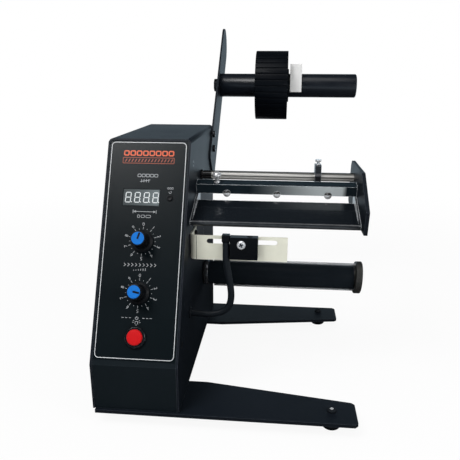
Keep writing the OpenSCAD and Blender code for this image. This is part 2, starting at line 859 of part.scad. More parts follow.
module front_panel() {
    low_x = cover_t + slide_gap;
    high_x = right_in - slide_gap;
    color("#1c2226") placed() difference() {
        intersection() {
            union() {
                along_x(low_x, high_x - low_x) polygon(front_band(panel_inset, panel_inset + panel_t));
                for (x = [low_x, high_x - panel_t])
                    along_x(x, panel_t) polygon(front_band(panel_inset, panel_inset + panel_flange));
            }
            box_room();
        }
        on_panel(display_x, display_s)
            slab(display_w + 2 * display_gap, display_h + 2 * display_gap, back_h - cut, cut);
        on_panel(reset_x, display_s) post(reset_d / 2 + slide_gap, back_h - cut, cut);
        for (s = [length_s, speed_s]) on_panel(dial_x, s) post(bushing_r + hole_gap, back_h - cut, cut);
        on_panel(dial_x, power_s) post(barrel_r + hole_gap, back_h - cut, cut);
        at_places(side_places) countersunk_hole();
    }
}

module rear_panel() {
    low_x = cover_t + slide_gap;
    color("#2a2d33") placed() difference() {
        intersection() {
            translate([low_x, rear_in, cover_t])
                cube([body_w - 2 * low_x, panel_t, body_h - 2 * cover_t - body_gap]);
            box_room();
        }
        pan_holes(rear_places);
        pan_holes(inlet_places);
        translate([inlet_x - inlet_body[0] / 2 - hole_gap, rear_in - cut,
            inlet_z - inlet_body[1] / 2 - hole_gap])
            cube([inlet_body[0] + 2 * hole_gap, panel_t + 2 * cut, inlet_body[1] + 2 * hole_gap]);
    }
}

module side_screws() {
    color("#3a3d42") placed() at_places(side_places) countersunk_screw();
}

module pan_screws() {
    color("#b9bdc2") placed() at_places(pan_places) pan_screw();
}

module panel_overlay() {
    w = body_w - 2 * (cover_t + slide_gap + overlay_margin);
    h = slope_len - overlay_low - overlay_high;
    color("#10191d") placed() difference() {
        on_panel(dial_x, overlay_low + h / 2) slab(w, h, face_h, print_h);
        on_panel(display_x, display_s)
            slab(display_w + 2 * display_gap, display_h + 2 * display_gap, back_h, cut);
        on_panel(reset_x, display_s) post(reset_d / 2 + slide_gap, back_h, cut);
        for (s = [length_s, speed_s]) on_panel(dial_x, s) post(bushing_r + hole_gap, back_h, cut);
        on_panel(dial_x, power_s) post(barrel_r + hole_gap, back_h, cut);
    }
}

module display_module() {
    color("#8f9599") placed() on_panel(display_x, display_s)
        slab(display_w, display_h, display_foot, display_face);
}

module control_board() {
    color("#1d5a38") placed() on_panel(dial_x, board_s) {
        slab(board_w, board_len, display_foot - board_t, display_foot);
        translate([0, chip_s, 0]) slab(chip_size[0], chip_size[1], display_foot - board_t - chip_size[2],
            display_foot - board_t / 2);
        translate([0, plug_s, 0]) slab(plug_size[0], plug_size[1], display_foot - board_t - plug_size[2],
            display_foot - board_t / 2);
        translate([capacitor_at[0], capacitor_at[1], 0])
            post(capacitor_r, display_foot - board_t - capacitor_h, display_foot - board_t / 2);
    }
}

module board_posts() {
    color("#c8b26a") placed() for (x = [-1, 1], s = [-1, 1])
        on_panel(dial_x + x * (board_w / 2 - board_edge), board_s + s * (board_len / 2 - board_edge))
            post(post_r, display_foot, back_h);
}

module reset_switch() {
    color("#2b2b2b") placed() on_panel(reset_x, display_s) difference() {
        slab(switch_side, switch_side, display_foot, back_h - reset_flange_t - switch_rise);
        post(reset_stem_r + slide_gap, back_h - reset_flange_t - switch_rise - stem_deep, 0);
    }
}

module reset_button() {
    color("#1a1a1c") placed() on_panel(reset_x, display_s) {
        post(reset_d / 2, back_h - reset_flange_t, print_h + reset_proud);
        post(reset_flange_r, back_h - reset_flange_t - seat_gap, back_h - seat_gap);
        post(reset_stem_r, back_h - reset_flange_t - stem_deep, back_h - reset_flange_t);
    }
}

// Fluted knob on its shaft, turned clockwise from the dial's zero
module knob_at(s, turn) {
    low = print_h + knob_lift;
    top = print_h + knob_h - cap_t + cap_sunk;
    on_panel(dial_x, s) rotate(-turn) difference() {
        union() {
            post(skirt_d / 2, low, low + skirt_t);
            translate([0, 0, low + skirt_t]) cylinder(h = skirt_t / 2, r1 = skirt_d / 2, r2 = barrel_d / 2);
            translate([0, 0, low + skirt_t])
                cylinder(h = top - low - skirt_t, r1 = barrel_d / 2, r2 = barrel_top_d / 2);
        }
        for (k = [1 : knob_flutes - 1]) rotate(90 + 360 * k / knob_flutes)
            translate([barrel_d / 2 + flute_r / 3, 0, low + 2 * skirt_t])
                cylinder(h = knob_h, r = flute_r);
        post(knob_room_r, low - cut, low + knob_room_h - knob_lift);
        post(pot_shaft_d / 2 + seat_gap, low - cut, print_h + knob_h * shaft_top_share + seat_gap);
        post(cap_d / 2 + seat_gap, top - cap_sunk, top + cut);
    }
}

// Coloured cap pressed into a knob's top, with its pointer groove
module knob_cap_at(s, turn) {
    low = print_h + knob_h - cap_t;
    on_panel(dial_x, s) rotate(-turn) difference() {
        union() {
            post(cap_d / 2, low, low + cap_sunk);
            translate([0, 0, low + cap_sunk])
                cylinder(h = cap_t - cap_sunk, r1 = cap_d / 2, r2 = cap_d / 2 - cap_t + cap_sunk);
        }
        translate([-pointer_w / 2, 0, low + cap_t - pointer_deep]) cube([pointer_w, cap_d, cap_t]);
    }
}

// Shaft of a control, from inside its body up into the knob
module pot_shaft_at(s) {
    on_panel(dial_x, s) post(pot_shaft_d / 2, back_h - pot_deep * pot_bore_share + seat_gap,
        print_h + knob_h * shaft_top_share);
}

module length_knob() { color("#15171a") placed() knob_at(length_s, length_turn); }
module length_knob_cap() { color("#1583e0") placed() knob_cap_at(length_s, length_turn); }
module length_pot_shaft() { color("#b5b8bc") placed() pot_shaft_at(length_s); }
module speed_knob() { color("#15171a") placed() knob_at(speed_s, speed_turn); }
module speed_knob_cap() { color("#1583e0") placed() knob_cap_at(speed_s, speed_turn); }
module speed_pot_shaft() { color("#b5b8bc") placed() pot_shaft_at(speed_s); }

module pot_bodies() {
    color("#8d9196") placed() for (s = [length_s, speed_s]) on_panel(dial_x, s) difference() {
        union() {
            post(pot_r, back_h - pot_deep, back_h);
            post(bushing_r, back_h - cover_t, print_h + bushing_h);
            translate([0, -pot_r, 0])
                slab(tab_size[0], tab_size[1], back_h - pot_deep, back_h - pot_deep + tab_size[2]);
        }
        post(pot_shaft_d / 2 + run_gap, back_h - pot_deep * pot_bore_share, print_h + knob_h);
    }
}

module pot_nuts() {
    color("#c9ccd0") placed() for (s = [length_s, speed_s]) on_panel(dial_x, s) difference() {
        translate([0, 0, print_h]) cylinder(h = pot_nut_t, r = pot_nut_r, $fn = 6);
        post(bushing_r + seat_gap, print_h - cut, print_h + pot_nut_t + cut);
    }
}

module power_switch_body() {
    color("#17181a") placed() on_panel(dial_x, power_s) difference() {
        union() {
            post(bezel_d / 2, print_h, print_h + bezel_h - bezel_chamfer);
            translate([0, 0, print_h + bezel_h - bezel_chamfer])
                cylinder(h = bezel_chamfer, r1 = bezel_d / 2, r2 = bezel_d / 2 - bezel_chamfer);
            post(barrel_r, print_h - switch_barrel, print_h);
            slab(switch_rear[0], switch_rear[1], print_h - switch_barrel - switch_rear[2],
                print_h - switch_barrel);
            for (side = [-1, 1]) translate([0, side * lug_apart / 2, 0])
                slab(lug_size[0], lug_size[1], print_h - switch_barrel - switch_rear[2] - lug_size[2],
                    print_h - switch_barrel);
        }
        post(button_d / 2 + slide_gap, print_h - button_skirt - button_travel - body_gap,
            print_h + button_h);
    }
}

module power_button() {
    color("#d8232a") placed() on_panel(dial_x, power_s) {
        post(button_d / 2, print_h - button_skirt, print_h + button_h * (1 - button_dome_share));
        translate([0, 0, print_h + button_h * (1 - button_dome_share)])
            cylinder(h = button_h * button_dome_share, r1 = button_d / 2,
                r2 = button_d / 2 * button_top_share);
    }
}

module transformer_core() {
    window = (core_size[0] - core_limb - 2 * core_yoke) / 2;
    color("#4a4d52") placed() difference() {
        union() {
            translate([coil_x - core_size[0] / 2, coil_y - core_size[1] / 2, cover_t]) cube(core_size);
            translate([coil_x - core_size[0] / 2 - foot_tab[0], coil_y - foot_tab[1] / 2, cover_t])
                cube([core_size[0] + 2 * foot_tab[0], foot_tab[1], foot_tab_t]);
        }
        for (x = [-core_limb / 2 - window, core_limb / 2])
            translate([coil_x + x, coil_y - core_size[1] / 2 - cut, core_yoke + cover_t])
                cube([window, core_size[1] + 2 * cut, core_size[2] - 2 * core_yoke]);
        pan_holes(core_places);
    }
}

module transformer_coil() {
    window = (core_size[0] - core_limb - 2 * core_yoke) / 2;
    high = core_size[2] - 2 * core_yoke - 2 * core_gap;
    color("#c9a13a") placed() translate([coil_x, coil_y, cover_t + core_yoke + core_gap]) difference() {
        translate([-core_limb / 2 - window + core_gap, -core_size[1] / 2 - coil_over, 0])
            cube([core_limb + 2 * window - 2 * core_gap, core_size[1] + 2 * coil_over, high]);
        translate([-core_limb / 2 - core_gap, -core_size[1] / 2 - core_gap, -cut])
            cube([core_limb + 2 * core_gap, core_size[1] + 2 * core_gap, high + 2 * cut]);
    }
}

// Block of the inlet centred in X and Z between two depths behind the rear panel's face
module inlet_block(size, front, back) {
    translate([inlet_x - size[0] / 2, front, inlet_z - size[1] / 2]) cube([size[0], back - front, size[1]]);
}

// Blades of the inlet, grown by a gap for the holes that they stand in
module inlet_blades(gap) {
    for (p = pin_places) translate([inlet_x + p[0] - pin_size[0] / 2 - gap, pin_end,
        inlet_z + p[1] - pin_size[1] / 2 - gap])
        cube([pin_size[0] + 2 * gap, inlet_deep + pin_tail - pin_short, pin_size[1] + 2 * gap]);
}

module power_inlet() {
    color("#17181a") placed() difference() {
        union() {
            inlet_block(inlet_flange, rear_out, inlet_out);
            inlet_block(inlet_body, inlet_in, inlet_out);
        }
        inlet_block(inlet_mouth, inlet_in + inlet_floor, inlet_out + cut);
        inlet_blades(seat_gap);
        pan_holes(inlet_places);
    }
}

module inlet_pins() {
    color("#d3d5d8") placed() inlet_blades(0);
}

// Points of a spur gear with involute flanks, one tooth looking along the first axis
function polar(r, a) = r * [cos(a), sin(a)];
function involute(a) = tan(a) * 180 / PI - a;
function base_r(teeth) = gear_module * teeth / 2 * cos(pressure_angle);
function root_r(teeth) = gear_module * (teeth / 2 - tooth_root);
function tip_r(teeth) = gear_module * (teeth / 2 + tooth_tip);
function half_tooth(teeth, r) = 90 / teeth - tooth_thin / (gear_module * teeth / 2) * 180 / PI
    + involute(pressure_angle) - involute(acos(min(1, base_r(teeth) / r)));
function flank_radii(teeth) = let(low = max(root_r(teeth), base_r(teeth))) concat([root_r(teeth)],
    [for (i = [0 : flank_steps]) if (i > 0 || low > root_r(teeth))
        low + (tip_r(teeth) - low) * i / flank_steps]);
function tooth_points(teeth, middle) = let(radii = flank_radii(teeth), last = len(radii) - 1) concat(
    [for (r = radii) polar(r, middle - half_tooth(teeth, r))],
    [for (i = [last : -1 : 0]) polar(radii[i], middle + half_tooth(teeth, radii[i]))]);
module gear_outline(teeth, turn) {
    polygon([for (k = [0 : teeth - 1]) each tooth_points(teeth, turn + 360 * k / teeth)]);
}

module motor_can() {
    x = frame_x - motor_len;
    color("#9ea2a6") placed() difference() {
        union() {
            translate([x, motor_y, motor_z]) rotate([0, 90, 0])
                cylinder(h = motor_chamfer, r1 = motor_d / 2 - motor_chamfer, r2 = motor_d / 2);
            rod_x(x + motor_chamfer, motor_len - motor_chamfer, motor_y, motor_z, motor_d / 2);
            rod_x(x + motor_len - cut, motor_boss + cut, motor_y, motor_z, motor_boss_r);
        }
        rod_x(x + motor_len / 2, motor_len, motor_y, motor_z, motor_shaft_d / 2 + run_gap);
    }
}

module motor_pinion() {
    start = frame_x - motor_len / 2 + motor_chamfer;
    color("#d0a850") placed() {
        along_x(gear_x, gear_w) translate([motor_y, motor_z])
            gear_outline(pinion_teeth, motor_dir + 180 + 180 / pinion_teeth);
        rod_x(start, gear_x + gear_w + cut - start, motor_y, motor_z, motor_shaft_d / 2);
    }
}

module spindle_gear() {
    color("#e8e4d8") placed() difference() {
        union() {
            along_x(gear_x, gear_w) translate([spindle_y, spindle_z]) gear_outline(gear_teeth, motor_dir);
            rod_x(gear_x - collar_w / 2, gear_w + collar_w, spindle_y, spindle_z, collar_r);
        }
        rod_x(gear_x - 2 * cut, gear_w + 4 * cut, spindle_y, spindle_z, spindle_d / 2 + seat_gap);
    }
}

module gear_bracket() {
    color("#a9adb1") placed() difference() {
        union() {
            translate([frame_x, spindle_y - frame_front, spindle_z - frame_low])
                cube([bracket_plate_t, frame_front + frame_rear, frame_low + frame_high]);
            rod_x(frame_x, bracket_plate_t + frame_boss, spindle_y, spindle_z, frame_boss_r);
            for (p = frame_post_at) rod_x(frame_x, right_in - frame_x, p[0], p[1], frame_post_r);
        }
        rod_x(frame_x - cut, bearing_w + 4 * cut, spindle_y, spindle_z, bearing_r + seat_gap);
        rod_x(frame_x - cut, bracket_plate_t + 2 * cut, motor_y, motor_z, motor_boss_r + hole_gap);
        at_places(side_places) countersunk_hole();
    }
}

bearing_xs = [frame_seat, right_in - housing_w];
module spindle_bearings() {
    color("#c4c8cc") placed() for (x = bearing_xs)
        ring_bar_x(x, bearing_w, spindle_y, spindle_z, bearing_r, spindle_d / 2 + run_gap);
}

module bearing_housing() {
    x = right_in - housing_w;
    color("#8b8f94") placed() difference() {
        union() {
            rod_x(x, housing_w, spindle_y, spindle_z, housing_r);
            rod_x(right_in - cut, cover_t + cut, spindle_y, spindle_z, housing_spigot_r);
        }
        rod_x(x - cut, bearing_w + cut, spindle_y, spindle_z, bearing_r + seat_gap);
        rod_x(x - cut, housing_w + cover_t + 2 * cut, spindle_y, spindle_z, spindle_d / 2 + body_gap);
    }
}

module spindle_shaft() {
    color("#b5b8bc") placed()
        rod_x(frame_x - cut, roller_x + plug_len - cut - frame_x, spindle_y, spindle_z, spindle_d / 2);
}

module roller_ring() {
    color("#c9ccd0") placed() difference() {
        union() {
            rod_x(ring_x, ring_w, spindle_y, spindle_z, ring_d / 2);
            rod_x(ring_x, ring_w + plug_len, spindle_y, spindle_z, roller_in_r - seat_gap);
        }
        rod_x(ring_x - cut, ring_w + plug_len + 2 * cut, spindle_y, spindle_z, spindle_d / 2 + seat_gap);
    }
}

module rewind_roller() {
    color("#16181b") placed()
        ring_bar_x(roller_x, roller_len, spindle_y, spindle_z, roller_d / 2, roller_in_r);
}

module liner_clip_cap() {
    color("#6b6a5e") placed() difference() {
        union() {
            rod_x(cap_x, end_cap_w, spindle_y, spindle_z, end_cap_d / 2);
            rod_x(cap_x - clip_face - spigot_len, clip_face + spigot_len + cut, spindle_y, spindle_z,
                roller_in_r - slide_gap);
        }
        for (k = [0 : knurls - 1])
            rod_x(cap_x - cut, end_cap_w + 2 * cut, spindle_y + end_cap_d / 2 * cos(360 * k / knurls),
                spindle_z + end_cap_d / 2 * sin(360 * k / knurls), knurl_r);
        for (side = [-1, 1])
            rod_x(cap_x - cut, clip_rod_grip + cut, spindle_y, spindle_z + side * clip_rod_at,
                clip_rod_r + seat_gap);
    }
}

module liner_clip_rods() {
    color("#d3d5d8") placed() for (side = [-1, 1])
        rod_x(cap_x + clip_rod_grip - clip_rod_len - clip_rod_grip, clip_rod_len + clip_rod_grip - seat_gap,
            spindle_y, spindle_z + side * clip_rod_at, clip_rod_r);
}

module roll_arm() {
    color("#2b2e36") placed() difference() {
        along_x(arm_x, arm_t) translate([shaft_y, shaft_z]) rotate(arm_lean) {
            polygon([[-arm_down, -arm_w / 2 + arm_corner], [-arm_down + arm_corner, -arm_w / 2],
                [arm_up, -arm_w / 2], [arm_up, arm_w / 2], [-arm_down + arm_corner, arm_w / 2],
                [-arm_down, arm_w / 2 - arm_corner]]);
            translate([arm_up, 0]) circle(r = arm_w / 2);
        }
        pan_holes(arm_screws);
        rod_x(arm_x - cut, arm_t + 2 * cut, shaft_y, shaft_z, bolt_r + hole_gap);
    }
}

module supply_shaft() {
    color("#1b1d21") placed() difference() {
        union() {
            rod_x(arm_out, shaft_len - shaft_chamfer, shaft_y, shaft_z, shaft_d / 2);
            translate([arm_out + shaft_len - shaft_chamfer, shaft_y, shaft_z]) rotate([0, 90, 0])
                cylinder(h = shaft_chamfer, r1 = shaft_d / 2, r2 = shaft_d / 2 - shaft_chamfer);
        }
        rod_x(arm_x - cut, bolt_len + 2 * cut, shaft_y, shaft_z, bolt_r + seat_gap);
    }
}

module shaft_bolt() {
    color("#26282c") placed() {
        rod_x(arm_x, bolt_len, shaft_y, shaft_z, bolt_r);
        translate([arm_x - bolt_head_h, shaft_y, shaft_z]) rotate([0, 90, 0])
            cylinder(h = bolt_head_h, r = bolt_head_r, $fn = 6);
    }
}

module hub_bush() {
    r = shaft_d / 2 + bush_wall;
    left = hub_x - 2 * run_gap - bush_rim_t;
    right = hub_x + hub_w + 2 * run_gap;
    color("#1d1f22") placed() difference() {
        union() {
            rod_x(left, right + bush_rim_t - left, shaft_y, shaft_z, r);
            for (x = [left, right]) rod_x(x, bush_rim_t, shaft_y, shaft_z, r + bush_rim);
        }
        rod_x(left - cut, right + bush_rim_t - left + 2 * cut, shaft_y, shaft_z, shaft_d / 2 + run_gap);
    }
}

module core_hub() {
    bore = shaft_d / 2 + bush_wall + run_gap;
    recess = (hub_w - hub_web) / 2;
    color("#141518") placed() difference() {
        rod_x(hub_x, hub_w, shaft_y, shaft_z, hub_d / 2);
        rod_x(hub_x - cut, hub_w + 2 * cut, shaft_y, shaft_z, bore);
        for (x = [hub_x - cut, hub_x + hub_w - recess])
            ring_bar_x(x, recess + cut, shaft_y, shaft_z, hub_d / 2 - hub_rim, bore + hub_boss);
        for (k = [0 : hub_grooves - 1]) translate([hub_x - cut, shaft_y, shaft_z])
            rotate([360 * k / hub_grooves, 0, 0])
                translate([0, -groove_w / 2, hub_d / 2 - groove_deep])
                    cube([hub_w + 2 * cut, groove_w, 2 * groove_deep]);
    }
}

module stop_clip() {
    bore = shaft_d / 2 + slide_gap;
    color("#e8e8e4") placed() along_x(clip_x, clip_w) translate([shaft_y, shaft_z]) difference() {
        union() {
            circle(r = bore + clip_wall);
            translate([-bore - clip_wall, -clip_down])
                square([clip_plate + clip_wall / 2, clip_up + clip_down]);
        }
        circle(r = bore);
        translate([-hub_d, -hub_d - clip_down]) square([2 * hub_d, hub_d]);
    }
}

// Outline of a tray flange: from the peel edge up under the press bar and back below
function flange_outline() = [[tray_y - nose_r / 2, flange_low], [tray_y - nose_r / 2, tray_z - nose_r / 4],
    [tray_y, tray_z], bar_front, bar_rear, [bar_rear[0] + flange_tail, bar_rear[1]],
    [bar_rear[0] + flange_tail, flange_low]];

module tray_plate() {
    color("#15171b") placed() difference() {
        union() {
            along_x(tray_x, tray_w) translate([tray_y, tray_z]) rotate(tray_tilt) {
                translate([0, -tray_t]) square([tray_deep, tray_t]);
                translate([0, -nose_r]) circle(r = nose_r);
            }
            for (x = [tray_x, tray_right - tray_t]) along_x(x, tray_t) polygon(flange_outline());
        }
        pan_holes(tray_places);
        pan_holes(end_places);
    }
}

module end_plate() {
    nose = tray_y - end_nose;
    low = tray_z - end_low;
    high = tray_z + end_high;
    rear = tray_y + end_rear;
    color("#24272c") placed() difference() {
        along_x(tray_right, end_t) polygon([[nose, tray_z + end_nose_z - cut], [nose + end_chin, low],
            [rear - end_rear_cut, low], [rear, low + end_rear_cut / 2], [rear - end_chin, high - end_chin],
            [rear - 2 * end_chin, high], [tray_y + end_brow, high]]);
        pan_holes(end_places);
        rod_x(tray_right - cut, end_t + 2 * cut, rod_y, rod_z, rod_d / 2 + seat_gap);
    }
}

module guide_rod() {
    color("#d3d5d8") placed() {
        rod_x(right_in - rod_inside, tray_right + end_t - right_in + rod_inside, rod_y, rod_z, rod_d / 2);
        rod_x(body_w, rod_collar, rod_y, rod_z, rod_collar_r);
    }
}

// Places a child on the bar: first axis up its front face, second out of the bar's top
module on_bar(x) {
    translate([x, bar_front[0], bar_front[1]]) rotate([bar_tilt, 0, 0]) children();
}

module press_bar() {
    color("#7d8a92") placed() difference() {
        translate([tray_x + hole_gap, 0, 0]) translate([0, bar_front[0], bar_front[1]])
            rotate([bar_tilt, 0, 0]) cube([tray_w - 2 * hole_gap, bar_side, bar_side]);
        on_bar(tray_x + bar_screw_x) translate([0, bar_side / 2, bar_side - bar_screw_deep])
            cylinder(h = bar_screw_deep + cut, r = bar_screw_r + seat_gap);
        for (share = stud_shares) on_bar(tray_x + tray_w * share) translate([0, stud_sink, stud_sink]) {
            sphere(r = stud_d / 2 + seat_gap);
            rotate([-90, 0, 0])
                cylinder(h = stud_d / 2 + stud_shank + seat_gap, r = stud_shank_r + seat_gap);
        }
    }
}

module press_studs() {
    color("#dfe2e5") placed() for (share = stud_shares)
        on_bar(tray_x + tray_w * share) translate([0, stud_sink, stud_sink]) {
            sphere(r = stud_d / 2);
            rotate([-90, 0, 0]) cylinder(h = stud_d / 2 + stud_shank, r = stud_shank_r);
        }
}

module bar_screw() {
    color("#dfe2e5") placed() on_bar(tray_x + bar_screw_x) translate([0, bar_side / 2, bar_side]) {
        post(bar_screw_r, seat_gap - bar_screw_deep, bar_screw_collar + bar_screw_neck);
        cylinder(h = bar_screw_collar, r1 = bar_screw_collar_r, r2 = bar_screw_r);
        post(bar_screw_head_r, bar_screw_collar + bar_screw_neck,
            bar_screw_collar + bar_screw_neck + bar_screw_head_h * (1 - pan_dome_share));
        translate([0, 0, bar_screw_collar + bar_screw_neck + bar_screw_head_h * (1 - pan_dome_share)])
            cylinder(h = bar_screw_head_h * pan_dome_share, r1 = bar_screw_head_r,
                r2 = bar_screw_head_r * (1 - pan_dome_share));
    }
}

module edge_guide() {
    r = rod_d / 2;
    front = rod_y - r - guide_front;
    rear = rod_y + r + guide_rear;
    low = rod_z - r - guide_low;
    top = rod_z + r + guide_top;
    color("#17181b") placed() difference() {
        along_x(guide_x, guide_w) polygon([[front, low], [front, rod_z + r / 2],
            [front + guide_step, rod_z + r / 2 + guide_step], [front + guide_step, top],
            [rear, top], [rear, low]]);
        rod_x(guide_x - cut, guide_w + 2 * cut, rod_y, rod_z, r + run_gap);
        translate([guide_x + guide_w / 2, rod_y, rod_z])
            cylinder(h = r + guide_top + cut, r = grub_r + hole_gap);
    }
}

module guide_screw() {
    top = rod_z + rod_d / 2 + guide_top;
    color("#dfe2e5") placed() translate([guide_x + guide_w / 2, rod_y, 0]) {
        post(grub_r, rod_z + rod_d / 2 + body_gap / 2, top + grub_rise);
        post(grub_head_r, top + grub_rise - cut / 2, top + grub_rise + grub_head_h);
        post(2 * grub_r, top + body_gap / 2, top + body_gap / 2 + cut / 2);
    }
}

module sensor_bracket() {
    color("#e6e1cc") placed() difference() {
        translate([0, 0, bracket_z]) linear_extrude(height = bracket_h) {
            translate([body_w + bracket_fold, bracket_y]) square([bracket_len - bracket_fold, bracket_t]);
            translate([body_w, bracket_y + bracket_fold]) square([bracket_t, bracket_flange]);
            intersection() {
                translate([body_w + bracket_fold, bracket_y + bracket_fold]) difference() {
                    circle(r = bracket_fold);
                    circle(r = bracket_fold - bracket_t);
                }
                translate([body_w, bracket_y]) square([bracket_fold, bracket_fold]);
            }
        }
        for (x = [slot_x + slot_h / 2, slot_x + slot_len - slot_h / 2])
            translate([x, bracket_y - cut, slot_z]) rotate([-90, 0, 0])
                cylinder(h = bracket_t + 2 * cut, r = slot_h / 2);
        translate([slot_x + slot_h / 2, bracket_y - cut, slot_z - slot_h / 2])
            cube([slot_len - slot_h, bracket_t + 2 * cut, slot_h]);
        pan_holes(bracket_places);
    }
}

module sensor_block() {
    color("#15171a") placed() difference() {
        translate([sensor_x, sensor_front, sensor_z]) cube([sensor_w, sensor_deep, sensor_h]);
        translate([sensor_screw_x, sensor_front - cut, slot_z]) rotate([-90, 0, 0])
            cylinder(h = sensor_deep + 2 * cut, r = sensor_screw_r + hole_gap);
        translate([sensor_x + sensor_w * recess_share + sensor_screw_r * 2, sensor_front + sensor_deep / 2,
            sensor_z + sensor_h - eye_deep]) cylinder(h = eye_deep + cut, r = eye_r);
    }
}

module sensor_screw() {
    color("#dfe2e5") placed() translate([sensor_screw_x, sensor_front, slot_z]) {
        rotate([90, 0, 0]) difference() {
            union() {
                cylinder(h = sensor_head_h * (1 - pan_dome_share), r = sensor_head_r);
                translate([0, 0, sensor_head_h * (1 - pan_dome_share)])
                    cylinder(h = sensor_head_h * pan_dome_share, r1 = sensor_head_r,
                        r2 = sensor_head_r * (1 - pan_dome_share / 2));
                translate([0, 0, -sensor_deep - bracket_t - nut_t - 2 * sensor_gap - cut])
                    cylinder(h = sensor_deep + bracket_t + nut_t + 2 * sensor_gap + 2 * cut,
                        r = sensor_screw_r);
            }
            cross_recess(sensor_head_r, sensor_head_h);
        }
        translate([0, sensor_deep + bracket_t + 2 * sensor_gap, 0]) rotate([-90, 0, 0]) difference() {
            cylinder(h = nut_t, r = nut_r, $fn = 6);
            translate([0, 0, -cut]) cylinder(h = nut_t + 2 * cut, r = sensor_screw_r + seat_gap);
        }
    }
}

module cable_boot() {
    color("#1a1c1f") placed() translate([sensor_x - boot_size[0], route[0][1] - boot_size[1] / 2, boot_z])
        cube(boot_size);
}

// Tube swept along a route that never runs straight along the named side
function unit(v) = v / norm(v);
function route_dir(pts, i) = unit(pts[min(i + 1, len(pts) - 1)] - pts[max(i - 1, 0)]);
function ring_points(pts, i, r, sides, side) = let(t = route_dir(pts, i), across = unit(cross(t, side)),
    up = cross(across, t)) [for (k = [0 : sides - 1])
        pts[i] + r * (cos(360 * k / sides) * across + sin(360 * k / sides) * up)];
function tube_faces(rings, sides) = concat(
    [[for (k = [0 : sides - 1]) k]],
    [for (i = [0 : rings - 2], k = [0 : sides - 1]) let(n = (k + 1) % sides)
        each [[i * sides + k, (i + 1) * sides + k, i * sides + n],
            [i * sides + n, (i + 1) * sides + k, (i + 1) * sides + n]]],
    [[for (k = [sides - 1 : -1 : 0]) (rings - 1) * sides + k]]);
module tube(pts, r, sides, side) {
    polyhedron(points = [for (i = [0 : len(pts) - 1]) each ring_points(pts, i, r, sides, side)],
        faces = tube_faces(len(pts), sides));
}

module sensor_cable() {
    color("#1b1d20") placed() tube(route, cable_d / 2, cable_sides, [0, 1, 0]);
}

module cable_grommet() {
    color("#0e0f10") placed() difference() {
        union() {
            rod_x(body_w, grommet_rim, cable_in[0], cable_in[1], grommet_r);
            rod_x(right_in - grommet_rim_in, cover_t + grommet_rim_in + cut, cable_in[0], cable_in[1],
                grommet_inner);
        }
        rod_x(right_in - grommet_rim_in - cut, cover_t + grommet_rim_in + 4 * cut, cable_in[0], cable_in[1],
            cable_d / 2 + hole_gap);
    }
}

module inner_wiring() {
    color("#a33a2a") placed() {
        tube(wire_low, wire_r, wire_sides, [1, 0, 0]);
        tube(wire_high, wire_r, wire_sides, [1, 0, 0]);
    }
}

base_plate();
rubber_feet();
foot_screws();
cover_shell();
front_panel();
rear_panel();
side_screws();
pan_screws();
panel_overlay();
display_module();
control_board();
board_posts();
reset_button();
reset_switch();
length_knob();
length_knob_cap();
length_pot_shaft();
speed_knob();
speed_knob_cap();
speed_pot_shaft();
pot_bodies();
pot_nuts();
power_button();
power_switch_body();
transformer_core();
transformer_coil();
power_inlet();
inlet_pins();
motor_can();
motor_pinion();
gear_bracket();
spindle_gear();
spindle_shaft();
spindle_bearings();
bearing_housing();
rewind_roller();
roller_ring();
liner_clip_cap();
liner_clip_rods();
roll_arm();
supply_shaft();
shaft_bolt();
hub_bush();
core_hub();
stop_clip();
tray_plate();
end_plate();
guide_rod();
press_bar();
press_studs();
edge_guide();
guide_screw();
bar_screw();
sensor_bracket();
sensor_block();
sensor_screw();
cable_boot();
sensor_cable();
cable_grommet();
inner_wiring();
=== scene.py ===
"""Looks of a desktop label dispenser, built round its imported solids.

The machine is drawn in its own millimetres, as its CAD source is: x = 0 is the left face of the
control box, y = 0 its knee and z = 0 its floor. place() turns such a point into the row's metres.
"""

import json
import logging
import math
from collections.abc import Callable, Iterable, Mapping, Sequence
from dataclasses import dataclass, field, replace
from enum import Enum
from functools import cached_property
from typing import ClassVar

import bmesh
import bpy
from mathutils import Matrix, Vector


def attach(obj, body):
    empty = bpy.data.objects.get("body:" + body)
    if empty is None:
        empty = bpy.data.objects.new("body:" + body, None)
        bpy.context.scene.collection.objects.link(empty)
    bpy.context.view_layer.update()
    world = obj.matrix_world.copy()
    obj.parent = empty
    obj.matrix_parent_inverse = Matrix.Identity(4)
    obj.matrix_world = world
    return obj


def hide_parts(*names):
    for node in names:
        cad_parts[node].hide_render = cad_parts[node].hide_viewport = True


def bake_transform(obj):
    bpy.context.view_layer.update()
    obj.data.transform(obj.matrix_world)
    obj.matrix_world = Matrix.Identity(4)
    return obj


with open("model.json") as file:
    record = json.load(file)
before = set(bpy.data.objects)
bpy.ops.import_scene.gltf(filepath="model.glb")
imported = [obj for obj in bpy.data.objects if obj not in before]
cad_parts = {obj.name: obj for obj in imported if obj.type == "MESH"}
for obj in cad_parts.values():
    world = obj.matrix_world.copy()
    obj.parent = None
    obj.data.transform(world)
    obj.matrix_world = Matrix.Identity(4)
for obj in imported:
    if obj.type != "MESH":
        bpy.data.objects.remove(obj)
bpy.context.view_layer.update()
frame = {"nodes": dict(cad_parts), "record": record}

log = logging.getLogger("dispenser")

MM = 0.001
ROW_ORIGIN = Vector((113.15, 174.5239, -13.5))
# Distance in metres under which two vertices are one, in a drawn piece and in a CAD node
SAME_POINT = 1e-7
SAME_CAD_POINT = 1e-6
# Angle in degrees under which two facets of a CAD node are one
SAME_FACET = 0.6
# Radius in millimetres under which a profile's point lies on its axis
ON_AXIS = 1e-6
# Least cosine that a line's corner is drawn sharp with
MITRE = 0.5
# Height of the font's digits, as a share of its size
DIGIT_SHARE = 0.7

Colour = tuple[float, float, float]
Point = tuple[float, float, float]
Flat = tuple[float, float]
Outline = Sequence[Flat]
Socket = bpy.types.NodeSocket


# ---------------------------------------------------------------- places


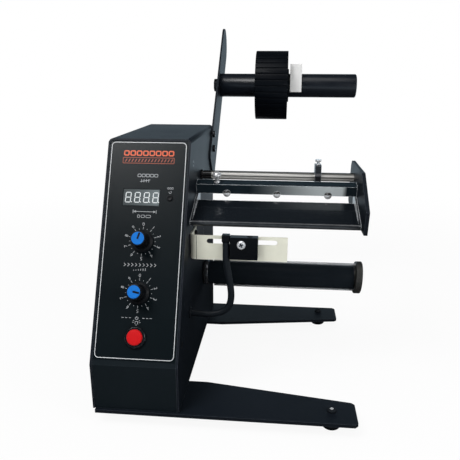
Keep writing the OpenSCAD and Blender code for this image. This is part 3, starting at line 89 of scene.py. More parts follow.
def place(x: float, y: float, z: float) -> Vector:
    """Turns a point of the machine's millimetres into the row's metres.

    Args:
        x: Distance to the right of the box's left face.
        y: Distance behind the knee.
        z: Height over the box's floor.

    Returns:
        The point in the row frame.
    """
    return (Vector((x, y, z)) - ROW_ORIGIN) * MM


@dataclass(frozen=True)
class Slope:
    """The control panel's sloping front and the heights of what lies on it."""

    run: float = 80.5
    knee: float = 39.5
    top: float = 206.5
    print_level: float = -0.2
    display_level: float = -0.3

    @property
    def lean(self) -> float:
        """Angle between the slope and the vertical."""
        return math.atan2(self.run, self.top - self.knee)

    def frame(self, across: float, up: float, height: float = 0.0, turn: float = 0.0) -> Matrix:
        """Frame on the panel: X across, Y up the slope and Z out of it.

        Args:
            across: Distance from the box's left face.
            up: Distance up the slope from the knee.
            height: Distance out of the slope line.
            turn: Clockwise turn about the outward axis, in degrees.

        Returns:
            A matrix from local millimetres to the machine's millimetres.
        """
        s, c = math.sin(self.lean), math.cos(self.lean)
        axes = Matrix(((1, 0, 0), (0, s, -c), (0, c, s))).to_4x4()
        spot = Vector((across, up * s - height * c, self.knee + up * c + height * s))
        return Matrix.Translation(spot) @ axes @ Matrix.Rotation(-math.radians(turn), 4, "Z")


SLOPE = Slope()


# Axes of a frame whose Z runs along the machine's X
ALONG_X = Matrix(((0, 0, 1), (1, 0, 0), (0, 1, 0)))
# Axes of a frame whose X is the machine's X, whose Y is up and whose Z comes towards the front
FACING = Matrix(((1, 0, 0), (0, 0, -1), (0, 1, 0)))


def frame_at(axes: Matrix, x: float, y: float, z: float) -> Matrix:
    """Frame at a point of the machine.

    Args:
        axes: The frame's axes.
        x: Distance to the right of the box's left face.
        y: Distance behind the knee.
        z: Height over the box's floor.

    Returns:
        A matrix from local millimetres to the machine's millimetres.
    """
    return Matrix.Translation(Vector((x, y, z))) @ axes.to_4x4()


# ---------------------------------------------------------------- shader effects


class Grain(Enum):
    """Small relief that a finish may have: its share of round cells and the detail of its noise."""

    MOULDED = (0.0, 4.0)
    POWDER = (0.5, 4.0)
    CAST = (0.3, 4.0)
    FILM = (0.0, 2.0)


@dataclass(frozen=True)
class Graph:
    """A shader tree, with short ways to add nodes to it."""

    tree: bpy.types.NodeTree

    def fill(self, node: bpy.types.Node, inputs: Mapping[str | int, object]) -> None:
        """Sets a node's inputs.

        Args:
            node: The node.
            inputs: For each input, a socket that is linked to it or the value that it gets.
        """
        for label, value in inputs.items():
            if isinstance(value, Socket):
                self.tree.links.new(value, node.inputs[label])
            else:
                node.inputs[label].default_value = value

    def node(self, kind: str, inputs: Mapping[str | int, object] | None = None) -> bpy.types.Node:
        """Adds a node.

        Args:
            kind: Blender's name of the node, without its first word ShaderNode.
            inputs: What fill() is given for it.

        Returns:
            The node.
        """
        node = self.tree.nodes.new("ShaderNode" + kind)
        self.fill(node, inputs or {})
        return node

    def group(self, effect: bpy.types.NodeTree, inputs: Mapping[str, object]) -> Mapping[str, Socket]:
        """Adds a node group and gives its outputs."""
        node = self.node("Group")
        node.node_tree = effect
        self.fill(node, inputs)
        return node.outputs

    def maths(self, operation: str, first: object, second: object, clamp: bool = False) -> Socket:
        """Adds a math node.

        Args:
            operation: Blender's name of the operation.
            first: A socket or a number.
            second: A socket or a number.
            clamp: Whether the result is kept from 0 to 1.

        Returns:
            The node's result.
        """
        node = self.node("Math", {0: first, 1: second})
        node.operation, node.use_clamp = operation, clamp
        return node.outputs[0]

    def vector(self, operation: str, inputs: Mapping[str | int, object]) -> Mapping[str, Socket]:
        """Adds a vector math node and gives its outputs."""
        node = self.node("VectorMath")
        node.operation = operation
        self.fill(node, inputs)
        return node.outputs

    def step(self, value: Socket, start: float, end: float, low: float, high: float) -> Socket:
        """Smooth step of a value between two levels.

        Args:
            value: The value that is read.
            start: Value at which the low level ends.
            end: Value at which the high level starts.
            low: The first level.
            high: The second level.

        Returns:
            The stepped value.
        """
        inputs = {"Value": value, "From Min": start, "From Max": end, "To Min": low, "To Max": high}
        node = self.node("MapRange", inputs)
        node.interpolation_type = "SMOOTHSTEP"
        return node.outputs["Result"]

    def coordinate(self, kind: str, axis: str) -> Socket:
        """One axis of a kind of texture coordinate, such as the X of Object."""
        return self.node("SeparateXYZ", {0: self.node("TexCoord").outputs[kind]}).outputs[axis]

    def stretched(self, stretch: Socket) -> Socket:
        """The object's own coordinates, times a stretch along each axis."""
        return self.vector("MULTIPLY", {0: self.node("TexCoord").outputs["Object"], 1: stretch})["Vector"]

    def scaled(self, vector: object, gain: Socket) -> Socket:
        """A colour or vector times a gain."""
        return self.vector("SCALE", {0: vector, "Scale": gain})["Vector"]

    def mixed(self, share: object, first: object, second: object, how: str = "MIX") -> Socket:
        """Mix of two colours.

        Args:
            share: The second colour's share.
            first: The first colour.
            second: The second colour.
            how: Blender's name of the way they are mixed.

        Returns:
            The mixed colour.
        """
        node = self.node("Mix")
        node.data_type, node.blend_type = "RGBA", how
        self.fill(node, {"Factor": share, "A": first, "B": second})
        return node.outputs["Result"]

    def either(self, share: Socket, first: Socket, second: Socket) -> Socket:
        """Mix of two shaders by the second one's share."""
        return self.node("MixShader", {"Fac": share, 1: first, 2: second}).outputs[0]


class Effects:
    """Shader node groups that several finishes share, each built at its first use."""

    GREY = ("Color", (0.5, 0.5, 0.5, 1.0))
    EVEN = ("Vector", (1.0, 1.0, 1.0))
    # How fast a sideways fade ends, per metre, and how it rises
    FADE_END = 250.0
    FADE_CURVE = 1.6
    # Noise that breaks up worn edges and painted edge highlights: how dense, how fine and how strong
    WEAR_NOISE = (260.0, 5.0, 5.0)

    @staticmethod
    def _start(
        name: str, inputs: Mapping[str, tuple[str, object]], outputs: Mapping[str, str]
    ) -> tuple[Graph, Mapping[str, Socket], bpy.types.Node]:
        """Starts a group with its sockets.

        Args:
            name: The group's name.
            inputs: Socket type and default of each input.
            outputs: Socket type of each output.

        Returns:
            The group's graph, its input sockets and its output node.
        """
        tree = bpy.data.node_groups.new(name, "ShaderNodeTree")
        for label, (kind, value) in inputs.items():
            socket = tree.interface.new_socket(name=label, in_out="INPUT", socket_type="NodeSocket" + kind)
            socket.default_value = value
        for label, kind in outputs.items():
            tree.interface.new_socket(name=label, in_out="OUTPUT", socket_type="NodeSocket" + kind)
        return Graph(tree), tree.nodes.new("NodeGroupInput").outputs, tree.nodes.new("NodeGroupOutput")

    @cached_property
    def grain(self) -> bpy.types.NodeTree:
        """Fine relief: noise stretched along an axis, with a share of round cells."""
        graph, given, end = self._start("fine_grain", {
            "Stretch": self.EVEN, "Density": ("Float", 2000.0), "Cells": ("Float", 0.0),
            "Detail": ("Float", 3.0)}, {"Height": "Float"})
        pattern = {"Vector": graph.stretched(given["Stretch"]), "Scale": given["Density"]}
        noise = graph.node("TexNoise", {**pattern, "Detail": given["Detail"]}).outputs[0]
        cells = graph.node("TexVoronoi", pattern)
        cells.feature = "SMOOTH_F1"
        share = graph.maths("MULTIPLY", cells.outputs["Distance"], given["Cells"])
        rest = graph.maths("MULTIPLY", noise, graph.maths("SUBTRACT", 1.0, given["Cells"]))
        graph.fill(end, {"Height": graph.maths("ADD", share, rest)})
        return graph.tree

    @cached_property
    def mottle(self) -> bpy.types.NodeTree:
        """Slow change of tone and gloss over a surface."""
        graph, given, end = self._start("slow_mottle", {
            "Colour": self.GREY, "Contrast": ("Float", 0.1), "Density": ("Float", 40.0),
            "Stretch": self.EVEN, "Roughness": ("Float", 0.5), "Gloss change": ("Float", 0.05),
        }, {"Colour": "Color", "Roughness": "Float"})
        spot = graph.stretched(given["Stretch"])
        noise = graph.node("TexNoise", {"Vector": spot, "Scale": given["Density"], "Detail": 4.0}).outputs[0]
        swing = graph.maths("MULTIPLY", graph.maths("SUBTRACT", noise, 0.5), 2.0)
        gain = graph.maths("ADD", graph.maths("MULTIPLY", swing, given["Contrast"]), 1.0)
        change = graph.maths("MULTIPLY", swing, given["Gloss change"])
        graph.fill(end, {
            "Colour": graph.scaled(given["Colour"], gain),
            "Roughness": graph.maths("ADD", change, given["Roughness"], clamp=True),
        })
        return graph.tree

    @cached_property
    def fade(self) -> bpy.types.NodeTree:
        """Tone that changes from left to right, less so on faces that look up."""
        graph, given, end = self._start("sideways_fade", {
            "Colour": self.GREY, "Faded": self.GREY, "From": ("Float", 0.0), "To": ("Float", 0.1),
            "End": ("Float", 1.0), "Top kept": ("Float", 0.0)}, {"Colour": "Color"})
        along = graph.coordinate("Object", "X")
        width = graph.maths("SUBTRACT", given["To"], given["From"])
        rise = graph.maths("DIVIDE", graph.maths("SUBTRACT", along, given["From"]), width, clamp=True)
        left = graph.maths("SUBTRACT", given["End"], along)
        fall = graph.maths("MULTIPLY", left, self.FADE_END, clamp=True)
        upward = graph.maths("MULTIPLY", graph.coordinate("Normal", "Z"), given["Top kept"], clamp=True)
        sides = graph.maths("SUBTRACT", 1.0, upward, clamp=True)
        curve = graph.maths("POWER", rise, self.FADE_CURVE)
        mask = graph.maths("MULTIPLY", graph.maths("MULTIPLY", curve, fall), sides)
        graph.fill(end, {"Colour": graph.mixed(mask, given["Colour"], given["Faded"])})
        return graph.tree

    @cached_property
    def wear(self) -> bpy.types.NodeTree:
        """Paler tone along sharp edges, broken up by noise: worn edges and painted edge highlights."""
        graph, given, end = self._start("edge_wear_and_highlight", {
            "Colour": self.GREY, "Rubbed": self.GREY, "Amount": ("Float", 0.3), "Radius": ("Float", 0.0006),
        }, {"Colour": "Color"})
        rounded = graph.node("Bevel", {"Radius": given["Radius"]})
        rounded.samples = 4
        flat = graph.node("NewGeometry").outputs["Normal"]
        same = graph.vector("DOT_PRODUCT", {0: rounded.outputs[0], 1: flat})["Value"]
        bend = graph.maths("SUBTRACT", 1.0, same)
        density, detail, strength = self.WEAR_NOISE
        spot = graph.node("TexCoord").outputs["Object"]
        noise = graph.node("TexNoise", {"Vector": spot, "Scale": density, "Detail": detail}).outputs[0]
        edge = graph.maths("MULTIPLY", bend, graph.maths("MULTIPLY", noise, strength), clamp=True)
        mask = graph.maths("MULTIPLY", edge, given["Amount"], clamp=True)
        graph.fill(end, {"Colour": graph.mixed(mask, given["Colour"], given["Rubbed"])})
        return graph.tree


EFFECTS = Effects()
BUILT: dict[str, bpy.types.Material] = {}


@dataclass(frozen=True)
class Finish:
    """A surface finish: tone, gloss, relief, unevenness, worn edges, painted edge highlights and
    reflections.
    """

    name: str
    colour: Colour
    rough: float
    metal: float = 0.0
    specular: float = 0.5
    coat: float = 0.0
    coat_rough: float = 0.08
    grain: Grain = Grain.MOULDED
    grain_mm: float = 0.5
    lift: float = 0.1
    stretch: Point = (1.0, 1.0, 1.0)
    mottle: float = 0.1
    mottle_mm: float = 24.0
    gloss_change: float = 0.05
    drawn: Point = (1.0, 1.0, 1.0)
    # Paler edge tone, its reach and its colour: worn edges on some finishes, painted edge highlights on
    # others
    wear: float = 0.0
    wear_mm: float = 0.6
    rubbed: Colour = (0.35, 0.36, 0.38)
    # Tone at the right end of a sideways fade, and where the fade starts, is full and ends
    faded: Colour | None = None
    fade_mm: Point = (0.0, 100.0, 1000.0)
    top_kept: float = 0.0
    # Painted reflections: heights that a bar's faces look to, from -1 to 1, each with the gain of its tone
    bands: tuple[Flat, ...] = ()

    def material(self) -> bpy.types.Material:
        """The finish's material, built at its first use."""
        if self.name not in BUILT:
            BUILT[self.name] = self._build()
        return BUILT[self.name]

    def _build(self) -> bpy.types.Material:
        """Builds the material from the shared effects."""
        material = bpy.data.materials.new("dressed_" + self.name)
        material.use_nodes = True
        graph = Graph(material.node_tree)
        tone = graph.group(EFFECTS.mottle, {
            "Colour": (*self.colour, 1.0), "Contrast": self.mottle, "Density": 1 / MM / self.mottle_mm,
            "Stretch": self.drawn, "Roughness": self.rough, "Gloss change": self.gloss_change})
        colour = tone["Colour"]
        if self.faded:
            ends = {label: place(x, 0, 0).x for label, x in zip(("From", "To", "End"), self.fade_mm)}
            colour = graph.group(EFFECTS.fade, {
                "Colour": colour, "Faded": (*self.faded, 1.0), "Top kept": self.top_kept, **ends})["Colour"]
        if self.bands:
            colour = self._banded(graph, colour)
        if self.wear > 0:
            colour = graph.group(EFFECTS.wear, {
                "Colour": colour, "Rubbed": (*self.rubbed, 1.0), "Amount": self.wear,
                "Radius": self.wear_mm * MM})["Colour"]
        cells, detail = self.grain.value
        relief = graph.group(EFFECTS.grain, {
            "Stretch": self.stretch, "Density": 1 / MM / self.grain_mm, "Cells": cells, "Detail": detail})
        bump = graph.node("Bump", {
            "Height": relief["Height"], "Strength": self.lift, "Distance": self.grain_mm * MM})
        graph.fill(next(n for n in graph.tree.nodes if n.type == "BSDF_PRINCIPLED"), {
            "Base Color": colour, "Roughness": tone["Roughness"], "Normal": bump.outputs["Normal"],
            "Metallic": self.metal, "Specular IOR Level": self.specular, "Coat Weight": self.coat,
            "Coat Roughness": self.coat_rough})
        return material

    def _banded(self, graph: Graph, colour: Socket) -> Socket:
        """Painted reflections along a round bar: a tone for each height that its faces look to.

        Args:
            graph: The material's graph.
            colour: The colour under the bands.

        Returns:
            The banded colour.
        """
        level = graph.maths("MULTIPLY", graph.maths("ADD", graph.coordinate("Normal", "Z"), 1.0), 0.5)
        ramp = graph.node("ValToRGB", {"Fac": level})
        stops = ramp.color_ramp.elements
        while len(stops) < len(self.bands):
            stops.new(0.5)
        for stop, (height, tone) in zip(stops, self.bands):
            stop.position, stop.color = (height + 1) / 2, (tone, tone, tone, 1.0)
        return graph.mixed(1.0, colour, ramp.outputs["Color"], "MULTIPLY")


# Thin stretched grain for drawn and ground metal
GROUND_X = (0.04, 1.0, 1.0)

# Its paler edge tone is a painted highlight along the sheet-metal edges
POWDER_COAT = Finish(
    "powder_coat", (0.0062, 0.0092, 0.0140), 0.46, specular=0.16, grain=Grain.POWDER, grain_mm=0.55,
    lift=0.16, mottle=0.16, mottle_mm=40, wear=0.6, wear_mm=0.8, rubbed=(0.085, 0.10, 0.125))
# Its paler edge tone is a painted highlight along the front panel's edges
PANEL_COAT = Finish(
    "panel_coat", (0.0062, 0.0112, 0.0150), 0.42, specular=0.2, grain=Grain.POWDER, grain_mm=0.55,
    lift=0.14, mottle=0.14, mottle_mm=40, wear=0.7, wear_mm=0.8, rubbed=(0.11, 0.13, 0.155))
PRINT_FILM = Finish(
    "print_film", (0.0030, 0.0066, 0.0088), 0.33, specular=0.2, grain=Grain.FILM, grain_mm=0.25, lift=0.06,
    mottle_mm=30, gloss_change=0.03)
# Its near-white edge tone is a painted highlight along the tray's lip and edges
GLOSS_LACQUER = Finish(
    "gloss_lacquer", (0.0068, 0.0092, 0.0125), 0.22, specular=0.4, coat=0.6, coat_rough=0.04,
    grain=Grain.POWDER, grain_mm=1.6, lift=0.03, gloss_change=0.04, wear=1.0, wear_mm=1.6,
    rubbed=(0.90, 0.94, 0.98))
ZINC_PLATE = Finish(
    "zinc_plate", (0.84, 0.84, 0.71), 0.42, metal=0.08, grain_mm=0.35, lift=0.06, stretch=(0.08, 1.0, 1.0),
    mottle=0.08, mottle_mm=9, gloss_change=0.1, wear=0.2, rubbed=(0.9, 0.9, 0.86))
BRIGHT_CHROME = Finish(
    "bright_chrome", (0.84, 0.85, 0.87), 0.12, metal=0.55, grain=Grain.FILM, grain_mm=2.0, lift=0.015,
    mottle=0.04, mottle_mm=6)
# Its pale edge tone is a painted highlight along the roller ring's edges
DARK_CHROME = Finish(
    "dark_chrome", (0.10, 0.105, 0.115), 0.2, metal=0.8, grain=Grain.FILM, grain_mm=2.0, lift=0.02,
    mottle_mm=6, wear=1.0, wear_mm=0.8, rubbed=(0.6, 0.62, 0.65))
# Painted reflections: studs pale where faces look down, sideways or straight up, dark where they slant up
STUD_CHROME = Finish(
    "stud_chrome", (0.88, 0.88, 0.90), 0.12, metal=0.3, grain=Grain.FILM, grain_mm=2.0, lift=0.01,
    mottle=0.04, mottle_mm=6, bands=((-0.95, 0.5), (-0.7, 0.9), (0.08, 1.0), (0.28, 0.05), (0.78, 0.05),
    (0.92, 0.8)))
# Painted reflections: light and dark stripes along the guide rod by the way each face looks
GROUND_ROD = Finish(
    "ground_rod", (0.035, 0.035, 0.037), 0.16, metal=0.35, lift=0.02, stretch=GROUND_X, mottle=0.2,
    mottle_mm=3.4, drawn=(0.01, 1.0, 1.0), gloss_change=0.03, faded=(0.90, 0.89, 0.85),
    fade_mm=(79.5, 80.5, 1000.0), bands=((-0.75, 0.10), (-0.5, 0.85), (-0.15, 0.85), (0.02, 0.05),
    (0.12, 0.08), (0.26, 1.0), (0.55, 1.0), (0.7, 0.22), (0.9, 0.2), (0.97, 0.02)))
# Its faded tone is a painted reflection: the front paler towards the right end, faces that look up kept dark
# Its near-white edge tone is partly scratches and partly a painted highlight along the front top edge
DARK_BAR = Finish(
    "dark_bar", (0.013, 0.022, 0.029), 0.2, specular=0.4, grain_mm=0.4, lift=0.05, stretch=GROUND_X,
    mottle=0.4, mottle_mm=14, gloss_change=0.12, wear=1.0, wear_mm=1.1, rubbed=(0.85, 0.9, 0.94),
    faded=(0.84, 0.92, 0.94), fade_mm=(116.0, 188.0, 202.0), top_kept=2.5)
BLACK_TUBE = Finish(
    "black_tube", (0.0075, 0.0100, 0.0150), 0.3, specular=0.34, grain_mm=0.35, lift=0.08, stretch=GROUND_X,
    mottle=0.15, mottle_mm=20, gloss_change=0.08, wear=0.15, rubbed=(0.12, 0.13, 0.15))
ROLLER_TUBE = replace(BLACK_TUBE, name="roller_tube", colour=(0.0105, 0.0145, 0.0190), specular=0.03)
KNURLED_BRONZE = Finish(
    "knurled_bronze", (0.075, 0.074, 0.070), 0.36, metal=0.7, grain=Grain.CAST, grain_mm=0.4, lift=0.08,
    mottle=0.2, mottle_mm=8, wear=0.5, rubbed=(0.34, 0.33, 0.31))
HUB_PLASTIC = Finish(
    "hub_plastic", (0.0018, 0.0030, 0.0052), 0.42, specular=0.1, grain_mm=0.6, lift=0.14, mottle=0.12,
    mottle_mm=18)
CLIP_WHITE = Finish(
    "clip_white", (0.90, 0.90, 0.89), 0.4, grain_mm=0.7, lift=0.08, mottle=0.05, mottle_mm=10)
FOOT_RUBBER = Finish(
    "foot_rubber", (0.009, 0.012, 0.016), 0.7, specular=0.15, grain=Grain.CAST, lift=0.25, mottle=0.2,
    mottle_mm=6)
CABLE_JACKET = Finish(
    "cable_jacket", (0.0075, 0.0105, 0.0145), 0.45, specular=0.2, mottle=0.12, mottle_mm=12)
SENSOR_SHELL = Finish(
    "sensor_shell", (0.0012, 0.0018, 0.0032), 0.2, specular=0.12, grain_mm=0.8, lift=0.05, mottle=0.15,
    mottle_mm=12)
# Its pale edge tone is a painted highlight along the edge guide's chamfer
GUIDE_BLACK = Finish(
    "guide_black", (0.012, 0.012, 0.015), 0.3, metal=0.2, grain_mm=0.3, stretch=(1.0, 0.1, 1.0),
    mottle=0.12, wear=1.0, wear_mm=1.2, rubbed=(0.34, 0.36, 0.40))
KNOB_BLACK = Finish("knob_black", (0.0030, 0.0040, 0.0058), 0.46, specular=0.22, grain_mm=0.3, mottle_mm=6)
# Its pale edge tone is a painted highlight ring on the power button's bezel
BEZEL_GLOSS = Finish(
    "bezel_gloss", (0.0030, 0.0042, 0.0060), 0.18, lift=0.03, mottle_mm=6, wear=1.0, wear_mm=1.0,
    rubbed=(0.12, 0.135, 0.15))
KNOB_BLUE = Finish(
    "knob_blue", (0.007, 0.165, 0.60), 0.62, specular=0.14, grain_mm=0.3, lift=0.05, mottle=0.06,
    mottle_mm=4)
BUTTON_RED = Finish(
    "button_red", (0.60, 0.006, 0.009), 0.6, specular=0.14, grain_mm=0.6, lift=0.03, mottle=0.08,
    mottle_mm=4)
DISPLAY_FACE = Finish(
    "display_face", (0.040, 0.052, 0.056), 0.35, specular=0.3, grain=Grain.FILM, grain_mm=0.2, lift=0.03,
    mottle=0.25, mottle_mm=9, faded=(0.135, 0.165, 0.175), fade_mm=(16.0, 46.0, 1000.0))
DIGIT_LIGHT = Finish(
    "digit_light", (0.70, 0.74, 0.75), 0.45, grain=Grain.FILM, grain_mm=0.2, lift=0.03, mottle=0.2,
    mottle_mm=6)
PRINT_WHITE = Finish(
    "print_white", (0.66, 0.68, 0.70), 0.45, grain=Grain.FILM, grain_mm=0.15, lift=0.05, mottle=0.16,
    mottle_mm=2)
PRINT_GREY = replace(PRINT_WHITE, name="print_grey", colour=(0.40, 0.42, 0.44), mottle=0.3, mottle_mm=1.5)
PRINT_ORANGE = replace(PRINT_GREY, name="print_orange", colour=(0.70, 0.105, 0.03), mottle=0.2)
PRINT_RUST = replace(PRINT_GREY, name="print_rust", colour=(0.30, 0.055, 0.022))
BOARD_GREEN = Finish("board_green", (0.02, 0.16, 0.06), 0.3, grain=Grain.FILM, mottle=0.25, mottle_mm=3)
POST_BRASS = Finish("post_brass", (0.66, 0.48, 0.2), 0.26, metal=1.0, grain_mm=0.3, lift=0.08, mottle_mm=4)
CORE_IRON = Finish(
    "core_iron", (0.06, 0.06, 0.065), 0.5, metal=0.5, lift=0.3, stretch=(0.05, 1.0, 0.05), mottle=0.2,
    mottle_mm=8)
COIL_COPPER = Finish(
    "coil_copper", (0.5, 0.22, 0.05), 0.35, metal=0.6, grain_mm=0.4, lift=0.4, stretch=(0.05, 0.05, 1.0),
    mottle=0.2, mottle_mm=5)
MOTOR_STEEL = Finish(
    "motor_steel", (0.45, 0.46, 0.48), 0.28, metal=1.0, grain_mm=0.3, lift=0.08, mottle_mm=10)
GEAR_NYLON = Finish("gear_nylon", (0.66, 0.64, 0.55), 0.45, mottle=0.08, mottle_mm=6)
HOUSING_ALLOY = Finish("housing_alloy", (0.42, 0.43, 0.45), 0.32, metal=1.0, grain_mm=0.3, mottle_mm=8)
SCREW_BLACK = Finish(
    "screw_black", (0.03, 0.031, 0.035), 0.32, metal=0.9, grain=Grain.CAST, grain_mm=0.3, mottle=0.2,
    mottle_mm=2, wear=0.3)
# A painted glint, drawn only on the front leg's screw
SCREW_GLINT = Finish(
    "screw_glint", (0.7, 0.71, 0.73), 0.3, metal=0.4, grain=Grain.CAST, grain_mm=0.3, mottle=0.3,
    mottle_mm=0.7)
WIRE_RED = Finish("wire_red", (0.42, 0.03, 0.02), 0.4, mottle_mm=5)

# The finish of each of the record's slots, most of which bear their finish's name
SLOT_FINISH: dict[str, Finish] = {finish.name: finish for finish in (
    POWDER_COAT, ZINC_PLATE, BRIGHT_CHROME, BLACK_TUBE, KNURLED_BRONZE, HUB_PLASTIC, CLIP_WHITE,
    FOOT_RUBBER, CABLE_JACKET, GUIDE_BLACK, KNOB_BLACK, KNOB_BLUE, BUTTON_RED, DISPLAY_FACE, BOARD_GREEN,
    POST_BRASS, CORE_IRON, COIL_COPPER, MOTOR_STEEL, GEAR_NYLON, HOUSING_ALLOY, SCREW_BLACK, WIRE_RED,
)} | {
    "panel_steel": PANEL_COAT, "overlay_print": PRINT_FILM, "tray_black": GLOSS_LACQUER,
    "rod_steel": GROUND_ROD, "bar_steel": DARK_BAR, "sensor_plastic": SENSOR_SHELL,
    "pinion_brass": POST_BRASS, "frame_zinc": MOTOR_STEEL,
}
NODE_SLOT: dict[str, str] = {s["node"]: s["material_slot"] for s in frame["record"]["subparts"]}


# ---------------------------------------------------------------- mesh building


@dataclass
class Shape:
    """Vertices and faces in the machine's millimetres."""

    points: list[Vector] = field(default_factory=list)
    faces: list[tuple[int, ...]] = field(default_factory=list)

    def add(self, points: Iterable[Vector], faces: Iterable[Sequence[int]]) -> "Shape":
        """Adds points, and faces that count from the first of them."""
        first = len(self.points)
        self.points.extend(Vector(p) for p in points)
        self.faces.extend(tuple(first + i for i in f) for f in faces)
        return self

    def lathe(
        self,
        profile: Outline,
        spot: Matrix,
        sides: int = 64,
        wobble: Callable[[float, float, float], float] | None = None,
    ) -> "Shape":
        """Turns a profile round the frame's Z axis.

        Args:
            profile: Radius and height of each point. Ends on the axis are closed to one point.
            spot: The frame that the profile is turned in.
            sides: Number of steps round the axis.
            wobble: Gives a radius from the radius, the height and the angle in radians.

        Returns:
            The shape itself.
        """
        rings: list[list[int]] = []
        points: list[Vector] = []
        for radius, height in profile:
            turns = [2 * math.pi * k / sides for k in range(sides if radius > ON_AXIS else 1)]
            rings.append([len(points) + k for k in range(len(turns))])
            for angle in turns:
                r = wobble(radius, height, angle) if wobble else radius
                points.append(spot @ Vector((r * math.cos(angle), r * math.sin(angle), height)))
        faces: list[tuple[int, ...]] = []
        for low, high in zip(rings, rings[1:]):
            for k in range(sides):
                n = (k + 1) % sides
                if len(low) == 1:
                    faces.append((low[0], high[n], high[k]))
                elif len(high) == 1:
                    faces.append((low[k], low[n], high[0]))
                else:
                    faces.append((low[k], low[n], high[n], high[k]))
        return self.add(points, faces)

    def prism(self, outline: Outline, low: float, high: float, spot: Matrix) -> "Shape":
        """Stands an outline on a frame, from a low to a high level.

        Args:
            outline: Points counter-clockwise in the frame's XY plane.
            low: Level of the bottom.
            high: Level of the top.
            spot: The frame.

        Returns:
            The shape itself.
        """
        n = len(outline)
        points = [spot @ Vector((x, y, z)) for z in (low, high) for x, y in outline]
        faces = [tuple(range(n - 1, -1, -1)), tuple(range(n, 2 * n))]
        faces += [(k, (k + 1) % n, n + (k + 1) % n, n + k) for k in range(n)]
        return self.add(points, faces)

    def tube(self, path: Sequence[Vector], radius: float, sides: int = 16) -> "Shape":
        """Sweeps a round section along a path, closed with flat ends.

        Args:
            path: Points of the middle line.
            radius: Radius of the section.
            sides: Number of steps round it.

        Returns:
            The shape itself.
        """
        points: list[Vector] = []
        side = Vector((0, 1, 0))
        for k, spot in enumerate(path):
            way = (path[min(k + 1, len(path) - 1)] - path[max(k - 1, 0)]).normalized()
            across = way.cross(side).normalized()
            up = across.cross(way).normalized()
            for j in range(sides):
                a = 2 * math.pi * j / sides
                points.append(spot + radius * (math.cos(a) * across + math.sin(a) * up))
        faces: list[tuple[int, ...]] = [tuple(range(sides - 1, -1, -1))]
        for k in range(len(path) - 1):
            for j in range(sides):
                n = (j + 1) % sides
                a, b = k * sides, (k + 1) * sides
                faces.append((a + j, a + n, b + n, b + j))
        last = (len(path) - 1) * sides
        faces.append(tuple(range(last, last + sides)))
        return self.add(points, faces)


def arc(middle: Flat, radius: float, angles: Iterable[float]) -> list[Flat]:
    """Points round a middle.

    Args:
        middle: The middle.
        radius: Distance of the points from it.
        angles: Angle of each point from the X axis, in degrees.

    Returns:
        The points.
    """
    turns = [math.radians(angle) for angle in angles]
    return [(middle[0] + radius * math.cos(a), middle[1] + radius * math.sin(a)) for a in turns]


def rounded_rectangle(low: Flat, high: Flat, radius: float, steps: int = 5) -> list[Flat]:
    """Outline of a rectangle with round corners, counter-clockwise.

    Args:
        low: Its lower left corner.
        high: Its upper right corner.
        radius: Radius of the corners.
        steps: Number of steps round each corner.

    Returns:
        The outline's points.
    """
    left, right, bottom, top = low[0] + radius, high[0] - radius, low[1] + radius, high[1] - radius
    corners = (((right, bottom), -90), ((right, top), 0), ((left, top), 90), ((left, bottom), 180))
    return [point for corner, start in corners
            for point in arc(corner, radius, (start + 90 * k / steps for k in range(steps + 1)))]


def mesh_object(name: str, shape: Shape, finish: Finish, crease: float) -> bpy.types.Object:
    """Makes a smooth object from a shape.

    Args:
        name: The object's name.
        shape: Its vertices and faces.
        finish: Its finish.
        crease: Angle over which an edge stays sharp, in degrees.

    Returns:
        The object.
    """
    mesh = bpy.data.meshes.new(name)
    mesh.from_pydata([place(*p) for p in shape.points], [], shape.faces)
    work = bmesh.new()
    work.from_mesh(mesh)
    bmesh.ops.remove_doubles(work, verts=work.verts, dist=SAME_POINT)
    bmesh.ops.recalc_face_normals(work, faces=work.faces)
    work.to_mesh(mesh)
    work.free()
    mesh.polygons.foreach_set("use_smooth", [True] * len(mesh.polygons))
    mesh.set_sharp_from_angle(angle=math.radians(crease))
    mesh.materials.append(finish.material())
    piece = bpy.data.objects.new(name, mesh)
    bpy.context.scene.collection.objects.link(piece)
    log.info("piece %s: %d faces in %s", name, len(mesh.polygons), finish.name)
    return piece


def make_piece(
    name: str, shape: Shape, finish: Finish, body: str,
    replaces: Sequence[str] = (), crease: float = 32.0,
) -> None:
    """Makes a piece that rides on a body.

    Args:
        name: The piece's name.
        shape: Its vertices and faces.
        finish: Its finish.
        body: The CAD body that it moves with.
        replaces: The CAD nodes that it stands for.
        crease: Angle over which an edge stays sharp, in degrees.
    """
    piece = mesh_object(name, shape, finish, crease)
    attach(piece, body)
    if replaces:
        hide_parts(*replaces)


@dataclass(frozen=True)
class Dress:
    """How a CAD node is dressed.

    Attributes:
        edge: Width of the bevel on its sharp edges, in millimetres.
        crease: Angle over which an edge is bevelled, in degrees.
        finish: A finish of its own, in place of its slot's.
    """

    edge: float = 0.0
    crease: float = 34.0
    finish: Finish | None = None

    def put_on(self, name: str) -> None:
        """Gives a CAD node its finish and softens its sharp edges with modifiers.

        Args:
            name: The node's name.
        """
        node = frame["nodes"][name]
        finish = self.finish or SLOT_FINISH[NODE_SLOT[name]]
        node.data.materials.clear()
        node.data.materials.append(finish.material())
        if self.edge > 0:
            self._round(node)
        log.info("CAD node %s dressed in %s, edge %.2f mm", name, finish.name, self.edge)

    def _round(self, node: bpy.types.Object) -> None:
        """Joins the node's flat facets and bevels its sharp edges."""
        node.modifiers.new("weld", "WELD").merge_threshold = SAME_CAD_POINT
        flat = node.modifiers.new("flat", "DECIMATE")
        flat.decimate_type, flat.angle_limit = "DISSOLVE", math.radians(SAME_FACET)
        bevel = node.modifiers.new("edge", "BEVEL")
        bevel.width, bevel.segments = self.edge * MM, 2
        bevel.limit_method, bevel.angle_limit = "ANGLE", math.radians(self.crease)
        bevel.harden_normals = bevel.use_clamp_overlap = True
        bevel.miter_outer = "MITER_ARC"


